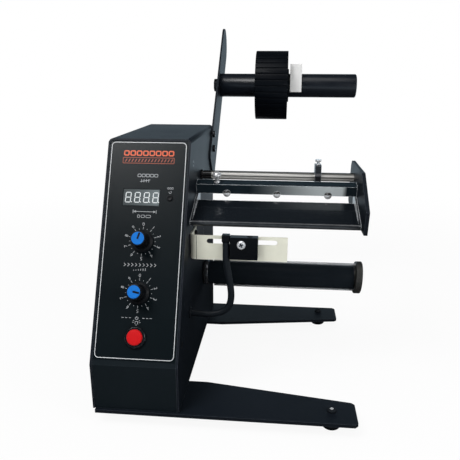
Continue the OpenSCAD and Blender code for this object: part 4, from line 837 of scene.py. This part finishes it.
def number_mesh(text: str, height: float, spot: Matrix, lift: float) -> Shape:
    """Shape of a dial's number.

    Args:
        text: The number.
        height: Height of the digits, in millimetres.
        spot: Frame whose origin is the number's centre.
        lift: Height of the print.

    Returns:
        The shape.
    """
    curve = bpy.data.curves.new("number_" + text, "FONT")
    curve.body = text
    curve.size = height / DIGIT_SHARE
    curve.align_x, curve.align_y = "CENTER", "CENTER"
    curve.extrude = lift / 2
    curve.resolution_u = 3
    helper = bpy.data.objects.new("number_helper", curve)
    bpy.context.scene.collection.objects.link(helper)
    bpy.context.view_layer.update()
    mesh = bpy.data.meshes.new_from_object(helper)
    shape = Shape().add(
        [spot @ (v.co + Vector((0, 0, lift / 2))) for v in mesh.vertices],
        [tuple(p.vertices) for p in mesh.polygons],
    )
    bpy.data.objects.remove(helper)
    bpy.data.meshes.remove(mesh)
    bpy.data.curves.remove(curve)
    return shape


# ---------------------------------------------------------------- sub-assemblies


class SubAssembly:
    """A part of the machine: CAD nodes that are dressed, and pieces that are drawn."""

    NODES: ClassVar[dict[str, Dress]] = {}

    def build(self) -> None:
        """Dresses the nodes and draws the pieces."""
        for name, dress in self.NODES.items():
            dress.put_on(name)
        self.draw()
        log.info("%s done", type(self).__name__)

    def draw(self) -> None:
        """Draws what stands beside the CAD nodes or in their place."""


@dataclass
class Base(SubAssembly):
    """The plate with two legs, its feet and their screws."""

    NODES = {"base_plate": Dress(0.5), "rubber_feet": Dress(1.0, crease=25),
             "foot_screws": Dress(0.2, finish=FOOT_RUBBER)}
    # Middle of the painted glint on the front leg's screw
    slot_spot: Point = (190.7, 16.3, 2.25)

    def draw(self) -> None:
        """Draws a painted glint: a bright disc in the middle of the front leg's screw."""
        head = [(0, -0.4), (1.5, -0.4), (1.5, 0.12), (1.1, 0.2), (0, 0.2)]
        slot = Shape().lathe(head, Matrix.Translation(Vector(self.slot_spot)), 20)
        make_piece("leg_screw_painted_glint", slot, SCREW_GLINT, "machine")


class Cabinet(SubAssembly):
    """The folded box, its panels, screws and mains inlet."""

    NODES = {"cover_shell": Dress(0.35), "front_panel": Dress(0.35), "rear_panel": Dress(0.35),
             "side_screws": Dress(0.15), "pan_screws": Dress(0.15), "power_inlet": Dress(0.4),
             "inlet_pins": Dress(0.3)}


class Electronics(SubAssembly):
    """What stands on the floor and behind the panel, out of sight."""

    NODES = {"control_board": Dress(0.1), "board_posts": Dress(0.1), "reset_switch": Dress(0.1),
             "pot_bodies": Dress(0.2), "pot_nuts": Dress(0.2), "length_pot_shaft": Dress(0.2),
             "speed_pot_shaft": Dress(0.2), "transformer_core": Dress(0.3), "transformer_coil": Dress(1.0),
             "inner_wiring": Dress()}


class Drive(SubAssembly):
    """Motor, gears, frame, bearings and spindle inside the box."""

    NODES = {"motor_can": Dress(0.3), "motor_pinion": Dress(), "gear_bracket": Dress(0.2),
             "spindle_gear": Dress(), "spindle_shaft": Dress(0.2), "spindle_bearings": Dress(0.2),
             "bearing_housing": Dress(0.3)}


@dataclass
class Print:
    """Thin ink marks on a frame, where X runs across the panel and Y up the slope."""

    spot: Matrix
    low: float = -0.02
    high: float = 0.05
    shape: Shape = field(default_factory=Shape)

    def line(self, path: Outline, width: float, closed: bool = False) -> None:
        """Draws a line of even width through some points.

        Args:
            path: Points of the line's middle.
            width: Width of the line.
            closed: Whether the line runs back to its start.
        """
        n = len(path)
        sides: tuple[list[Flat], list[Flat]] = ([], [])
        for k, spot in enumerate(path):
            before = Vector(path[k - 1] if closed or k else spot)
            after = Vector(path[(k + 1) % n] if closed or k < n - 1 else spot)
            way = (after - before).normalized()
            into = Vector(spot) - before
            into = into.normalized() if into.length else way
            spread = width / 2 / max(MITRE, abs(way.dot(into)))
            for side, row in zip((-1, 1), sides):
                row.append((spot[0] - side * way.y * spread, spot[1] + side * way.x * spread))
        levels = (self.low, self.high)
        points = [self.spot @ Vector((*flat, z)) for z in levels for row in sides for flat in row]
        # The strip's section: outer low, inner low, inner high and outer high
        ring = (0, n, 3 * n, 2 * n)
        faces = [(a + k, b + k, b + m, a + m)
                 for k, m in zip(range(n if closed else n - 1), (*range(1, n), 0))
                 for a, b in zip(ring, (*ring[1:], ring[0]))]
        if not closed:
            faces += [ring[::-1], tuple(a + n - 1 for a in ring)]
        self.shape.add(points, faces)

    def fill(self, outline: Outline) -> None:
        """Fills an outline, whose points run counter-clockwise."""
        self.shape.prism(outline, self.low, self.high, self.spot)

    def box(self, low: Flat, size: Flat, radius: float, width: float, steps: int = 3) -> None:
        """Draws a rectangle with round corners from its lower left corner."""
        high = (low[0] + size[0], low[1] + size[1])
        self.line(rounded_rectangle(low, high, radius, steps), width, closed=True)

    def arc(self, middle: Flat, radius: float, angles: Iterable[float], width: float) -> None:
        """Draws an arc through the points at some angles, in degrees."""
        self.line(arc(middle, radius, angles), width)

    def finish(self, name: str, finish: Finish) -> None:
        """Makes the printed piece."""
        make_piece(name, self.shape, finish, "machine", crease=60)


@dataclass
class ControlPanel(SubAssembly):
    """Overlay print, display, buttons and knobs on the sloping front."""

    NODES = {"panel_overlay": Dress(0.12), "display_module": Dress(0.25),
             "power_switch_body": Dress(0.4, crease=28, finish=BEZEL_GLOSS)}
    middle: float = 35.0
    border_low: Flat = (3.4, 6.0)
    border_size: Flat = (62.8, 176.2)
    border_round: float = 3.2
    border_line: float = 0.52
    title_left: float = 13.7
    title_right: float = 56.7
    title_boxes: int = 8
    dial_s: Flat = (98.812, 57.099)
    dial_turn: Flat = (16, 100)
    dial_numbers: int = 10
    number_radius: float = 13.95
    number_height: float = 2.7
    tick_line: float = 0.36
    long_tick: Flat = (10.0, 12.0)
    short_tick: Flat = (10.1, 10.8)
    display_spot: Flat = (31.2, 135.148)
    digit_size: Flat = (4.2, 8.2)
    digit_pitch: float = 7.6
    digit_shift: float = 0.7
    digit_lean: float = 0.06
    segment: float = 0.78
    dot_r: float = 0.5
    reset_spot: Flat = (55.1, 135.148)
    power_s: float = 22.617

    def draw(self) -> None:
        """Draws the print and the controls."""
        border = self._print()
        border.box(self.border_low, self.border_size, self.border_round, self.border_line, 8)
        border.finish("panel_border", PRINT_WHITE)
        self.title()
        signs = self._print()
        for sign in (self.counter_sign, self.length_sign, self.speed_sign, self.power_sign):
            sign(signs)
        signs.finish("panel_signs", PRINT_GREY)
        for name, s in zip(("length", "speed"), self.dial_s):
            self.dial(name, s)
        self.digits()
        self.reset_button()
        self.power_button()
        for name, s, turn in zip(("length", "speed"), self.dial_s, self.dial_turn):
            Knob(name, self.middle, s, turn).build()

    def _print(self) -> Print:
        """Ink on the overlay, in the panel's own distances."""
        return Print(SLOPE.frame(0, 0, SLOPE.print_level))

    def title(self) -> None:
        """Generic band in place of a title: a row of boxes over a hatched strip."""
        band, strip = self._print(), self._print()
        width = self.title_right - self.title_left
        pitch, gap = width / self.title_boxes, 0.8
        for k in range(self.title_boxes):
            band.box((self.title_left + k * pitch + gap, 171.0), (pitch - 2 * gap, 3.7), 0.9, 1.05, 4)
        band.finish("title_band", PRINT_ORANGE)
        strip.box((self.title_left, 164.2), (width, 4.8), 0.5, 0.55, 2)
        for k in range(15):
            x = self.title_left + 1.5 + k * 2.75
            strip.fill([(x, 165.3), (x + 0.95, 165.3), (x + 2.2, 167.9), (x + 1.25, 167.9)])
        strip.finish("title_strip", PRINT_RUST)

    @staticmethod
    def counter_sign(ink: Print) -> None:
        """Boxes and tally marks over the display, and a turning arrow over the reset button."""
        for k in range(5):
            ink.box((27.2 + k * 3.5, 152.6), (2.7, 2.3), 0.5, 0.42)
        for k in range(4):
            ink.line([(30.6 + k * 2.0, 148.0), (30.6 + k * 2.0, 150.6)], 0.42)
        ink.line([(29.4, 148.5), (37.9, 150.1)], 0.42)
        for k in range(3):
            ink.box((52.9 + k * 1.7, 142.6), (1.1, 1.4), 0.3, 0.3, 2)
        ink.arc((55.1, 140.0), 1.0, range(70, -221, -20), 0.35)

    @staticmethod
    def length_sign(ink: Print) -> None:
        """Double arrow between two stops, over labels of three lengths."""
        y = 123.3
        ink.line([(26.6, y), (43.4, y)], 0.42)
        ink.fill([(25.6, y), (27.8, y - 1), (27.8, y + 1)])
        ink.fill([(44.4, y), (42.2, y + 1), (42.2, y - 1)])
        for x in (25.4, 44.6):
            ink.line([(x, y - 1.5), (x, y + 1.5)], 0.42)
        for x, width in ((29.4, 1.8), (32.4, 2.8), (36.4, 3.8)):
            ink.box((x, 118.4), (width, 2.0), 0.4, 0.36)

    @staticmethod
    def speed_sign(ink: Print) -> None:
        """Row of chevrons over bars that grow."""
        for k in range(9):
            x = 21.2 + k * 3.1
            ink.line([(x, 80.9), (x + 1.4, 79.6), (x, 78.3)], 0.45)
        for k in range(6):
            x = 29.6 + k * 1.9
            ink.line([(x, 75.0), (x, 75.6 + 0.3 * k)], 0.5)

    @staticmethod
    def power_sign(ink: Print) -> None:
        """Ring with a bar between dashes, over a lamp with four rays."""
        x, y = 34.9, 37.6
        ink.arc((x, y - 0.1), 1.1, range(130, 411, 14), 0.4)
        ink.line([(x, y), (x, y + 1.5)], 0.4)
        ink.arc((x, 33.9), 1.2, range(-60, 241, 20), 0.38)
        ink.line([(x - 0.7, 32.1), (x + 0.7, 32.1)], 0.38)
        for way in (-1, 1):
            for k in range(3):
                near = x + way * (4.6 + 2.9 * k)
                ink.line([(near, y), (near + way * 1.7, y)], 0.45)
            ink.line([(x + way * 2.1, 34.0), (x + way * 3.4, 34.2)], 0.38)
            ink.line([(x + way * 1.8, 35.2), (x + way * 2.8, 35.8)], 0.38)

    def dial(self, name: str, s: float) -> None:
        """Numbers and ticks round a knob.

        Args:
            name: The dial's name.
            s: Its place up the slope.
        """
        shape, half_step = Shape(), 180 / self.dial_numbers
        for k in range(2 * self.dial_numbers):
            near, far = self.short_tick if k % 2 else self.long_tick
            spot = SLOPE.frame(self.middle, s, SLOPE.print_level, k * half_step)
            Print(spot, shape=shape).line([(0, near), (0, far)], self.tick_line)
        ink = Print(Matrix())
        for k in range(self.dial_numbers):
            spot = SLOPE.frame(self.middle, s, SLOPE.print_level + ink.low, 2 * k * half_step)
            spot = spot @ Matrix.Translation((0, self.number_radius, 0))
            number = number_mesh(str(k), self.number_height, spot, ink.high - ink.low)
            shape.add(number.points, number.faces)
        make_piece(name + "_dial_print", shape, PRINT_GREY, "machine", crease=60)

    def digits(self) -> None:
        """Four seven-segment digits with their points."""
        ink = Print(SLOPE.frame(*self.display_spot, SLOPE.display_level), high=0.04)
        w, h = self.digit_size
        for k in range(4):
            x = (k - 1.5) * self.digit_pitch + self.digit_shift
            for segment in self.segments(w, h, self.segment):
                ink.fill([(x + u + v * self.digit_lean, v) for u, v in segment])
            dot = (x + w / 2 + 0.9 - h / 2 * self.digit_lean, 0.3 - h / 2)
            ink.fill(arc(dot, self.dot_r, range(0, 360, 36)))
        ink.finish("display_digits", DIGIT_LIGHT)

    @staticmethod
    def segments(w: float, h: float, t: float) -> list[list[Flat]]:
        """Outlines of a digit's seven segments.

        Args:
            w: Width between the upright segments' middles.
            h: Height between the level segments' middles.
            t: Thickness of a segment.

        Returns:
            Seven outlines, counter-clockwise.
        """
        gap, half = 0.14, t / 2
        made = []
        for y in (-h / 2, 0.0, h / 2):
            a, b = -w / 2 + gap, w / 2 - gap
            made.append([(a, y), (a + half, y - half), (b - half, y - half), (b, y), (b - half, y + half),
                         (a + half, y + half)])
        for x in (-w / 2, w / 2):
            for low, high in ((-h / 2, 0.0), (0.0, h / 2)):
                a, b = low + gap, high - gap
                made.append([(x, a), (x + half, a + half), (x + half, b - half), (x, b),
                             (x - half, b - half), (x - half, a + half)])
        return made

    def reset_button(self) -> None:
        """Small round key with a collar, a soft rim and a dished top."""
        low, top, r = -2.7, SLOPE.print_level + 1.2, 2.5
        collar_r, collar_top = 3.42, -1.82
        profile = [(0, low), (collar_r, low), (collar_r, collar_top), (r, collar_top), (r, top - 0.4),
                   (r - 0.12, top - 0.12), (r - 0.4, top), (r - 0.9, top - 0.03), (r - 1.5, top - 0.22),
                   (0, top - 0.34)]
        shape = Shape().lathe(profile, SLOPE.frame(*self.reset_spot), 40)
        make_piece("reset_key", shape, KNOB_BLACK, "reset_button", ["reset_button"])

    def power_button(self) -> None:
        """Round push button with a soft edge and a low dome."""
        low, top, r = SLOPE.print_level - 8.0, SLOPE.print_level + 5.0, 6.2
        edge_w, edge_h, edge_low = 1.3, 1.2, top - 1.6
        profile = [(0, low), (r, low), (r, edge_low)]
        profile += [(r - edge_w * (1 - math.cos(a)), edge_low + edge_h * math.sin(a))
                    for a in (math.radians(15 * k) for k in range(1, 6))]
        profile += [(4.2, top - 0.24), (2.6, top - 0.08), (0, top)]
        shape = Shape().lathe(profile, SLOPE.frame(self.middle, self.power_s))
        make_piece("power_key", shape, BUTTON_RED, "power_button", ["power_button"])


@dataclass
class Knob:
    """A fluted knob with a coloured cap, turned clockwise from its dial's zero."""

    name: str
    across: float
    up: float
    turn: float
    skirt_r: float = 9.0
    foot_r: float = 6.8
    top_r: float = 6.15
    cap_r: float = 5.1
    height: float = 16.2
    lift: float = 0.7
    rim: float = 0.45
    # The hollow that opens downwards, and the bore for the control's shaft
    hollow_r: float = 6.2
    hollow_top: float = 5.2
    bore_r: float = 3.02
    # The cap's seat: how deep it is cut, and the gap round the cap
    seat_deep: float = 1.1
    seat_gap: float = 0.02
    flutes: int = 22
    flute_deep: float = 0.28
    steps: int = 8

    def build(self) -> None:
        """Builds the fluted body, the cap and the pointer."""
        spot = SLOPE.frame(self.across, self.up, SLOPE.print_level, self.turn)
        body = self.name + "_knob"
        low, top = self.lift, self.height - self.rim
        foot, seat_r = low + 2.3, self.cap_r + self.seat_gap
        profile = [
            (self.hollow_r, self.hollow_top), (self.hollow_r, low), (self.skirt_r - 0.25, low),
            (self.skirt_r, low + 0.25), (self.skirt_r, low + 0.9), (self.skirt_r - 0.25, low + 1.2),
            (self.foot_r + 0.45, low + 1.75), (self.foot_r, foot)]
        profile += [(self.foot_r + (self.top_r - self.foot_r) * k / self.steps,
                     foot + (top - 0.5 - foot) * k / self.steps) for k in range(1, self.steps + 1)]
        profile += [
            (self.top_r - 0.15, top - 0.15), (self.top_r - 0.45, top), (seat_r, top),
            (seat_r, top - self.seat_deep), (self.bore_r, top - self.seat_deep),
            (self.bore_r, self.hollow_top), (self.hollow_r, self.hollow_top)]

        def flute(radius: float, height: float, angle: float) -> float:
            """Radius with the flutes cut in, over the skirt and under the rim."""
            if not (foot - 0.1 < height < top - 0.4 and radius > self.cap_r + 0.1):
                return radius
            return radius - self.flute_deep * (0.5 - 0.5 * math.cos(self.flutes * angle)) ** 2

        grip = Shape().lathe(profile, spot, self.flutes * 8, flute)
        make_piece(body + "_grip", grip, KNOB_BLACK, body, [body], crease=40)
        seat = self.height - 1.5
        cap = [(0, seat), (self.cap_r, seat), (self.cap_r, seat + 1.1), (self.cap_r - 0.12, seat + 1.36),
               (self.cap_r - 0.42, seat + 1.48), (self.cap_r - 1.2, seat + 1.42), (0, seat + 1.4)]
        make_piece(body + "_top", Shape().lathe(cap, spot), KNOB_BLUE, body, [body + "_cap"])
        outline = rounded_rectangle((-0.75, -0.7), (0.75, self.cap_r - 0.45), 0.5)
        mark = Shape().prism(outline, seat + 1.2, seat + 1.49, spot)
        make_piece(body + "_pointer", mark, KNOB_BLACK, body, crease=60)


class SupplyArm(SubAssembly):
    """The leaning arm with the supply shaft, the core hub and its stop clip."""

    NODES = {"roll_arm": Dress(0.35), "supply_shaft": Dress(0.3), "shaft_bolt": Dress(0.4),
             "hub_bush": Dress(0.25), "core_hub": Dress(0.22), "stop_clip": Dress(0.5)}


class PeelTable(SubAssembly):
    """Tray, press bar, guide rod, edge guide and end plate."""

    NODES = {"tray_plate": Dress(0.3), "end_plate": Dress(0.5), "guide_rod": Dress(0.25),
             "press_bar": Dress(0.35), "edge_guide": Dress(0.35), "guide_screw": Dress(0.25),
             "bar_screw": Dress(0.3), "press_studs": Dress(finish=STUD_CHROME)}


@dataclass
class LabelSensor(SubAssembly):
    """Slotted bracket, sensor block, screw and the cable that hangs from it."""

    NODES = {"sensor_bracket": Dress(0.2), "sensor_block": Dress(0.5), "sensor_screw": Dress(0.25),
             "cable_boot": Dress(0.7), "cable_grommet": Dress(0.4)}
    # The cable's radius, and how much thinner it is drawn so that it stays inside its node
    cable_r: float = 2.9
    thinner: float = 0.03
    # Where the cable leaves the boot, how far it runs straight and how its bow is pulled down
    leaves: Point = (101.3, 58.0, 125.8)
    straight: float = 11.0
    hang: float = 26.0
    # Where it enters the box, how its bow is pulled sideways and down, and how far it runs level
    enters: Point = (74.0, 59.7, 60.5)
    bow: float = 48.0
    sag: float = 5.5
    flat: float = 4.0
    inside: float = 8.0
    steps: int = 48
    # Painted shade line at the bracket's bend: its X, lower and upper end, half its width, and the bracket's
    # front
    seam: tuple[float, float, float] = (76.0, 108.5, 129.2)
    seam_half: float = 0.22
    seam_levels: Flat = (-0.3, 0.04)
    bracket_y: float = 62.0
    # A dark cross paints the shade in the screw's recess
    # The screw's cross: its middle, the reach and half width of its arms, and their turns
    screw_spot: Point = (114.2, 52.2, 124.55)
    recess: Flat = (2.1, 0.42)
    recess_turns: Flat = (30, 120)
    recess_levels: Flat = (-0.9, 0.04)

    def draw(self) -> None:
        """Draws the painted shade at the bracket's bend and in the screw's cross, and the cable."""
        x, low, high = self.seam
        half = self.seam_half
        outline = [(x - half, low), (x + half, low), (x + half, high), (x - half, high)]
        seam = Shape().prism(outline, *self.seam_levels, frame_at(FACING, 0, self.bracket_y, 0))
        # A dark strip paints the shade at the bracket's bend
        make_piece("bracket_fold_shade", seam, SCREW_BLACK, "machine")
        reach, half = self.recess
        cross = Shape()
        for turn in self.recess_turns:
            spot = frame_at(FACING, *self.screw_spot) @ Matrix.Rotation(math.radians(turn), 4, "Z")
            arm = [(-reach, -half), (reach, -half), (reach, half), (-reach, half)]
            cross.prism(arm, *self.recess_levels, spot)
        # The dark cross paints the shade in the screw's recess
        make_piece("sensor_screw_cross_shade", cross, SCREW_BLACK, "sensor")
        self.cable()

    def route(self) -> list[Vector]:
        """Path of the cable: straight down, in one bow under the bracket, and level into the box.

        Returns:
            The points of its middle line, in the machine's millimetres.
        """
        top, end = Vector(self.leaves), Vector(self.enters)
        start = top - Vector((0, 0, self.straight))
        pulls = (start, start - Vector((0, 0, self.hang)), end + Vector((self.bow, 0, -self.sag)), end)
        path = [top.lerp(start, k / 6) for k in range(6)]
        for k in range(self.steps + 1):
            t = k / self.steps
            shares = ((1 - t) ** 3, 3 * t * (1 - t) ** 2, 3 * t * t * (1 - t), t ** 3)
            path.append(sum((share * pull for share, pull in zip(shares, pulls)), Vector((0, 0, 0))))
        last = path[-1]
        return path + [last - Vector((self.flat, 0, 0)), last - Vector((self.flat + self.inside, 0, 0))]

    def cable(self) -> None:
        """Smooth round cable that bends between the box and the sensor."""
        shape = Shape().tube(self.route(), self.cable_r - self.thinner, 24)
        lead = mesh_object("sensor_lead", shape, CABLE_JACKET, 40)
        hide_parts("sensor_cable")
        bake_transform(lead)


@dataclass
class RewindRoller(SubAssembly):
    """Driven roller, its root ring and the liner clip."""

    NODES = {"rewind_roller": Dress(0.25, finish=ROLLER_TUBE),
             "roller_ring": Dress(0.35, finish=DARK_CHROME), "liner_clip_rods": Dress(0.3)}
    axis: Flat = (146.0, 66.5)
    cap_x: float = 219.1
    cap_w: float = 6.4
    askew: float = 2.6
    cap_r: float = 15.75
    rim: float = 0.7
    knurl_deep: float = 0.42
    knurl_lead: float = 2.9
    knurl_sharp: float = 2.2
    knurls: int = 40
    spigot_r: float = 9.9
    spigot: float = 13.1
    steps: int = 16

    def draw(self) -> None:
        """Draws the cap, which has a diamond knurl between two plain rims and sits a little askew."""
        r, w, rim = self.cap_r, self.cap_w, self.rim
        profile = [(0, -self.spigot), (self.spigot_r - 0.4, -self.spigot),
                   (self.spigot_r, 0.4 - self.spigot), (self.spigot_r, 0), (r - 0.8, 0), (r - 0.5, 0.12),
                   (r - 0.4, 0.5)]
        profile += [(r, rim + (w - 2 * rim) * k / self.steps) for k in range(self.steps + 1)]
        profile += [(r - 0.4, w - 0.5), (r - 0.5, w - 0.12), (r - 0.8, w), (r - 3.4, w),
                    (r - 3.8, w - 0.35), (2.4, w - 0.35), (2.0, w - 0.9), (0, w - 1.0)]
        pitch = 2 * math.pi / self.knurls

        def knurl(radius: float, height: float, angle: float) -> float:
            """Radius with the crossed grooves of the knurl cut in."""
            if radius < r - 0.01 or not rim < height < w - rim:
                return radius
            twist = height / self.knurl_lead * pitch
            cuts = [abs(((angle + way * twist) / pitch) % 1 - 0.5) * 2 for way in (-1, 1)]
            return radius - self.knurl_deep * max(0.0, 1 - self.knurl_sharp * min(cuts))

        shape = Shape().lathe(profile, frame_at(ALONG_X, self.cap_x, *self.axis), self.knurls * 8, knurl)
        slope = math.tan(math.radians(self.askew))
        for p in shape.points:
            if p.x > self.cap_x - 0.01:
                p.x += slope * (p.z - self.axis[1])
        make_piece("liner_cap", shape, KNURLED_BRONZE, "liner_clip", ["liner_clip_cap"],
                   crease=50)


# ---------------------------------------------------------------- studio


@dataclass
class Studio:
    """White sweep behind a pale floor, soft lamps and the photograph's camera."""

    eye: Point = (145.5, -374.8, 258.1)
    yaw: float = 5.4
    pitch: float = 15.7
    roll: float = 0.245
    lens: float = 43.19
    sensor: float = 36.0
    clip: Flat = (0.01, 50.0)
    floor_half: float = 5.0
    floor_share: float = 0.92
    floor_mirrored: float = 0.75
    ambient: float = 0.30
    sweep: float = 0.62
    front: float = 0.07
    overhead: float = 0.03
    tint: Colour = (0.78, 1.0, 1.16)
    # Directions between which the sweep sets in towards the back, fades upwards, and the front's tone
    # gives way to the ceiling's
    behind: Flat = (0.1, 0.75)
    risen: Flat = (0.12, 0.5)
    ceiling: Flat = (0.0, 0.5)
    # Metres from the middle between which the floor turns from dark to pale and then bright in
    # reflections, and from nearly to fully white as the camera sees it
    dark_ring: Flat = (0.3, 0.85)
    bright_ring: Flat = (0.4, 1.0)
    white_ring: Flat = (0.25, 0.9)
    floor_colour: Colour = (0.93, 0.93, 0.93)
    mat_colour: Colour = (0.02, 0.021, 0.024)
    # Name, place, target, side in metres and power in watts of each lamp
    lamps: tuple[tuple[str, Point, Point, float, float], ...] = (
        ("key", (-0.535, -0.764, 1.25), (0.0, 0.0, 0.14), 0.5, 10.0),
        ("top", (0.05, -0.45, 1.7), (0.0, 0.0, 0.1), 0.9, 5.0),
        ("right", (0.62, -0.5, 0.42), (0.05, 0.0, 0.12), 0.3, 1.6),
    )

    def build(self) -> None:
        """Sets up the view settings, camera, floor, surround and lamps."""
        bpy.context.scene.view_settings.view_transform = "Standard"
        self.camera()
        self.surround()
        self.floor()
        for lamp in self.lamps:
            self.lamp(*lamp)

    def camera(self) -> None:
        """Camera at the photograph's place, angle and width."""
        yaw, pitch, roll = (math.radians(a) for a in (self.yaw, self.pitch, self.roll))
        right = Vector((math.cos(yaw), math.sin(yaw), 0))
        level = Vector((-math.sin(yaw), math.cos(yaw), 0))
        forward = level * math.cos(pitch) - Vector((0, 0, math.sin(pitch)))
        up = right.cross(forward)
        turned = right * math.cos(roll) + up * math.sin(roll)
        upward = up * math.cos(roll) - right * math.sin(roll)
        data = bpy.data.cameras.new("photo_view")
        data.sensor_width, data.lens = self.sensor, self.lens
        data.clip_start, data.clip_end = self.clip
        camera = bpy.data.objects.new("photo_view", data)
        turn = Matrix((turned, upward, -forward)).transposed()
        camera.matrix_world = Matrix.Translation(place(*self.eye)) @ turn.to_4x4()
        bpy.context.scene.collection.objects.link(camera)
        bpy.context.scene.camera = camera

    def surround(self) -> None:
        """World: white to the camera, and for reflections a sweep behind under a dark ceiling."""
        world = bpy.data.worlds.new("studio")
        bpy.context.scene.world = world
        world.use_nodes = True
        world.node_tree.nodes.clear()
        graph = Graph(world.node_tree)
        height = graph.coordinate("Generated", "Z")
        behind = graph.step(graph.coordinate("Generated", "Y"), *self.behind, 0.0, 1.0)
        below = graph.step(height, *self.risen, self.sweep, 0.0)
        ceiling = graph.step(height, *self.ceiling, self.front, self.overhead)
        shine = graph.maths("ADD", graph.maths("MULTIPLY", behind, below), ceiling)
        soft, mirrored, white = (
            graph.node("Background", {"Color": colour}).outputs[0]
            for colour in ((*[self.ambient] * 3, 1), graph.scaled(self.tint, shine), (1, 1, 1, 1)))
        rays = graph.node("LightPath").outputs
        direct = graph.maths("ADD", rays["Is Camera Ray"], rays["Is Transmission Ray"], clamp=True)
        unseen = graph.either(rays["Is Glossy Ray"], soft, mirrored)
        graph.node("OutputWorld", {"Surface": graph.either(direct, unseen, white)})

    def floor(self) -> None:
        """Pale floor that shows white, keeps a soft shadow and reflects dark close to the machine."""
        half = self.floor_half
        mesh = bpy.data.meshes.new("studio_floor")
        mesh.from_pydata([(-half, -half, 0), (half, -half, 0), (half, half, 0), (-half, half, 0)], [],
                         [(0, 1, 2, 3)])
        material = bpy.data.materials.new("studio_floor")
        material.use_nodes = True
        material.node_tree.nodes.clear()
        graph = Graph(material.node_tree)
        rays = graph.node("LightPath").outputs
        spot = graph.node("TexCoord").outputs["Object"]
        reach = graph.vector("LENGTH", {0: spot})["Value"]
        near = graph.step(reach, *self.dark_ring, 1.0, 0.0)
        white = graph.step(reach, *self.white_ring, self.floor_share, 1.0)
        seen = graph.maths("MULTIPLY", rays["Is Camera Ray"], white)
        bright = graph.step(reach, *self.bright_ring, 0.0, self.floor_mirrored)
        mirrored = graph.maths("MULTIPLY", rays["Is Glossy Ray"], bright)
        cool = graph.mixed(rays["Is Glossy Ray"], (1, 1, 1, 1), (*self.tint, 1))
        glow = graph.node("Emission", {"Color": cool}).outputs[0]
        pale, mat = (graph.node("BsdfDiffuse", {"Color": (*colour, 1)}).outputs[0]
                     for colour in (self.floor_colour, self.mat_colour))
        ground = graph.either(graph.maths("MULTIPLY", rays["Is Glossy Ray"], near), pale, mat)
        share = graph.maths("ADD", seen, mirrored, clamp=True)
        graph.node("OutputMaterial", {"Surface": graph.either(share, ground, glow)})
        mesh.materials.append(material)
        floor = bpy.data.objects.new("studio_floor", mesh)
        bpy.context.scene.collection.objects.link(floor)

    @staticmethod
    def lamp(name: str, spot: Point, target: Point, size: float, power: float) -> None:
        """Square soft lamp.

        Args:
            name: The lamp's name.
            spot: Its place in the row frame, in metres.
            target: The point that it looks at.
            size: Its side, in metres.
            power: Its power, in watts.
        """
        data = bpy.data.lights.new(name, "AREA")
        data.shape, data.size, data.energy = "SQUARE", size, power
        lamp = bpy.data.objects.new(name, data)
        lamp.location = spot
        way = Vector(target) - Vector(spot)
        lamp.rotation_mode = "QUATERNION"
        lamp.rotation_quaternion = way.to_track_quat("-Z", "Y")
        bpy.context.scene.collection.objects.link(lamp)


def main() -> None:
    """Builds the studio and every sub-assembly."""
    logging.basicConfig(level=logging.INFO, format="%(name)s: %(message)s")
    Studio().build()
    for part in (LabelSensor(), Base(), Cabinet(), ControlPanel(), Electronics(), Drive(), SupplyArm(),
                 PeelTable(), RewindRoller()):
        part.build()


if __name__ == "__main__":
    main()
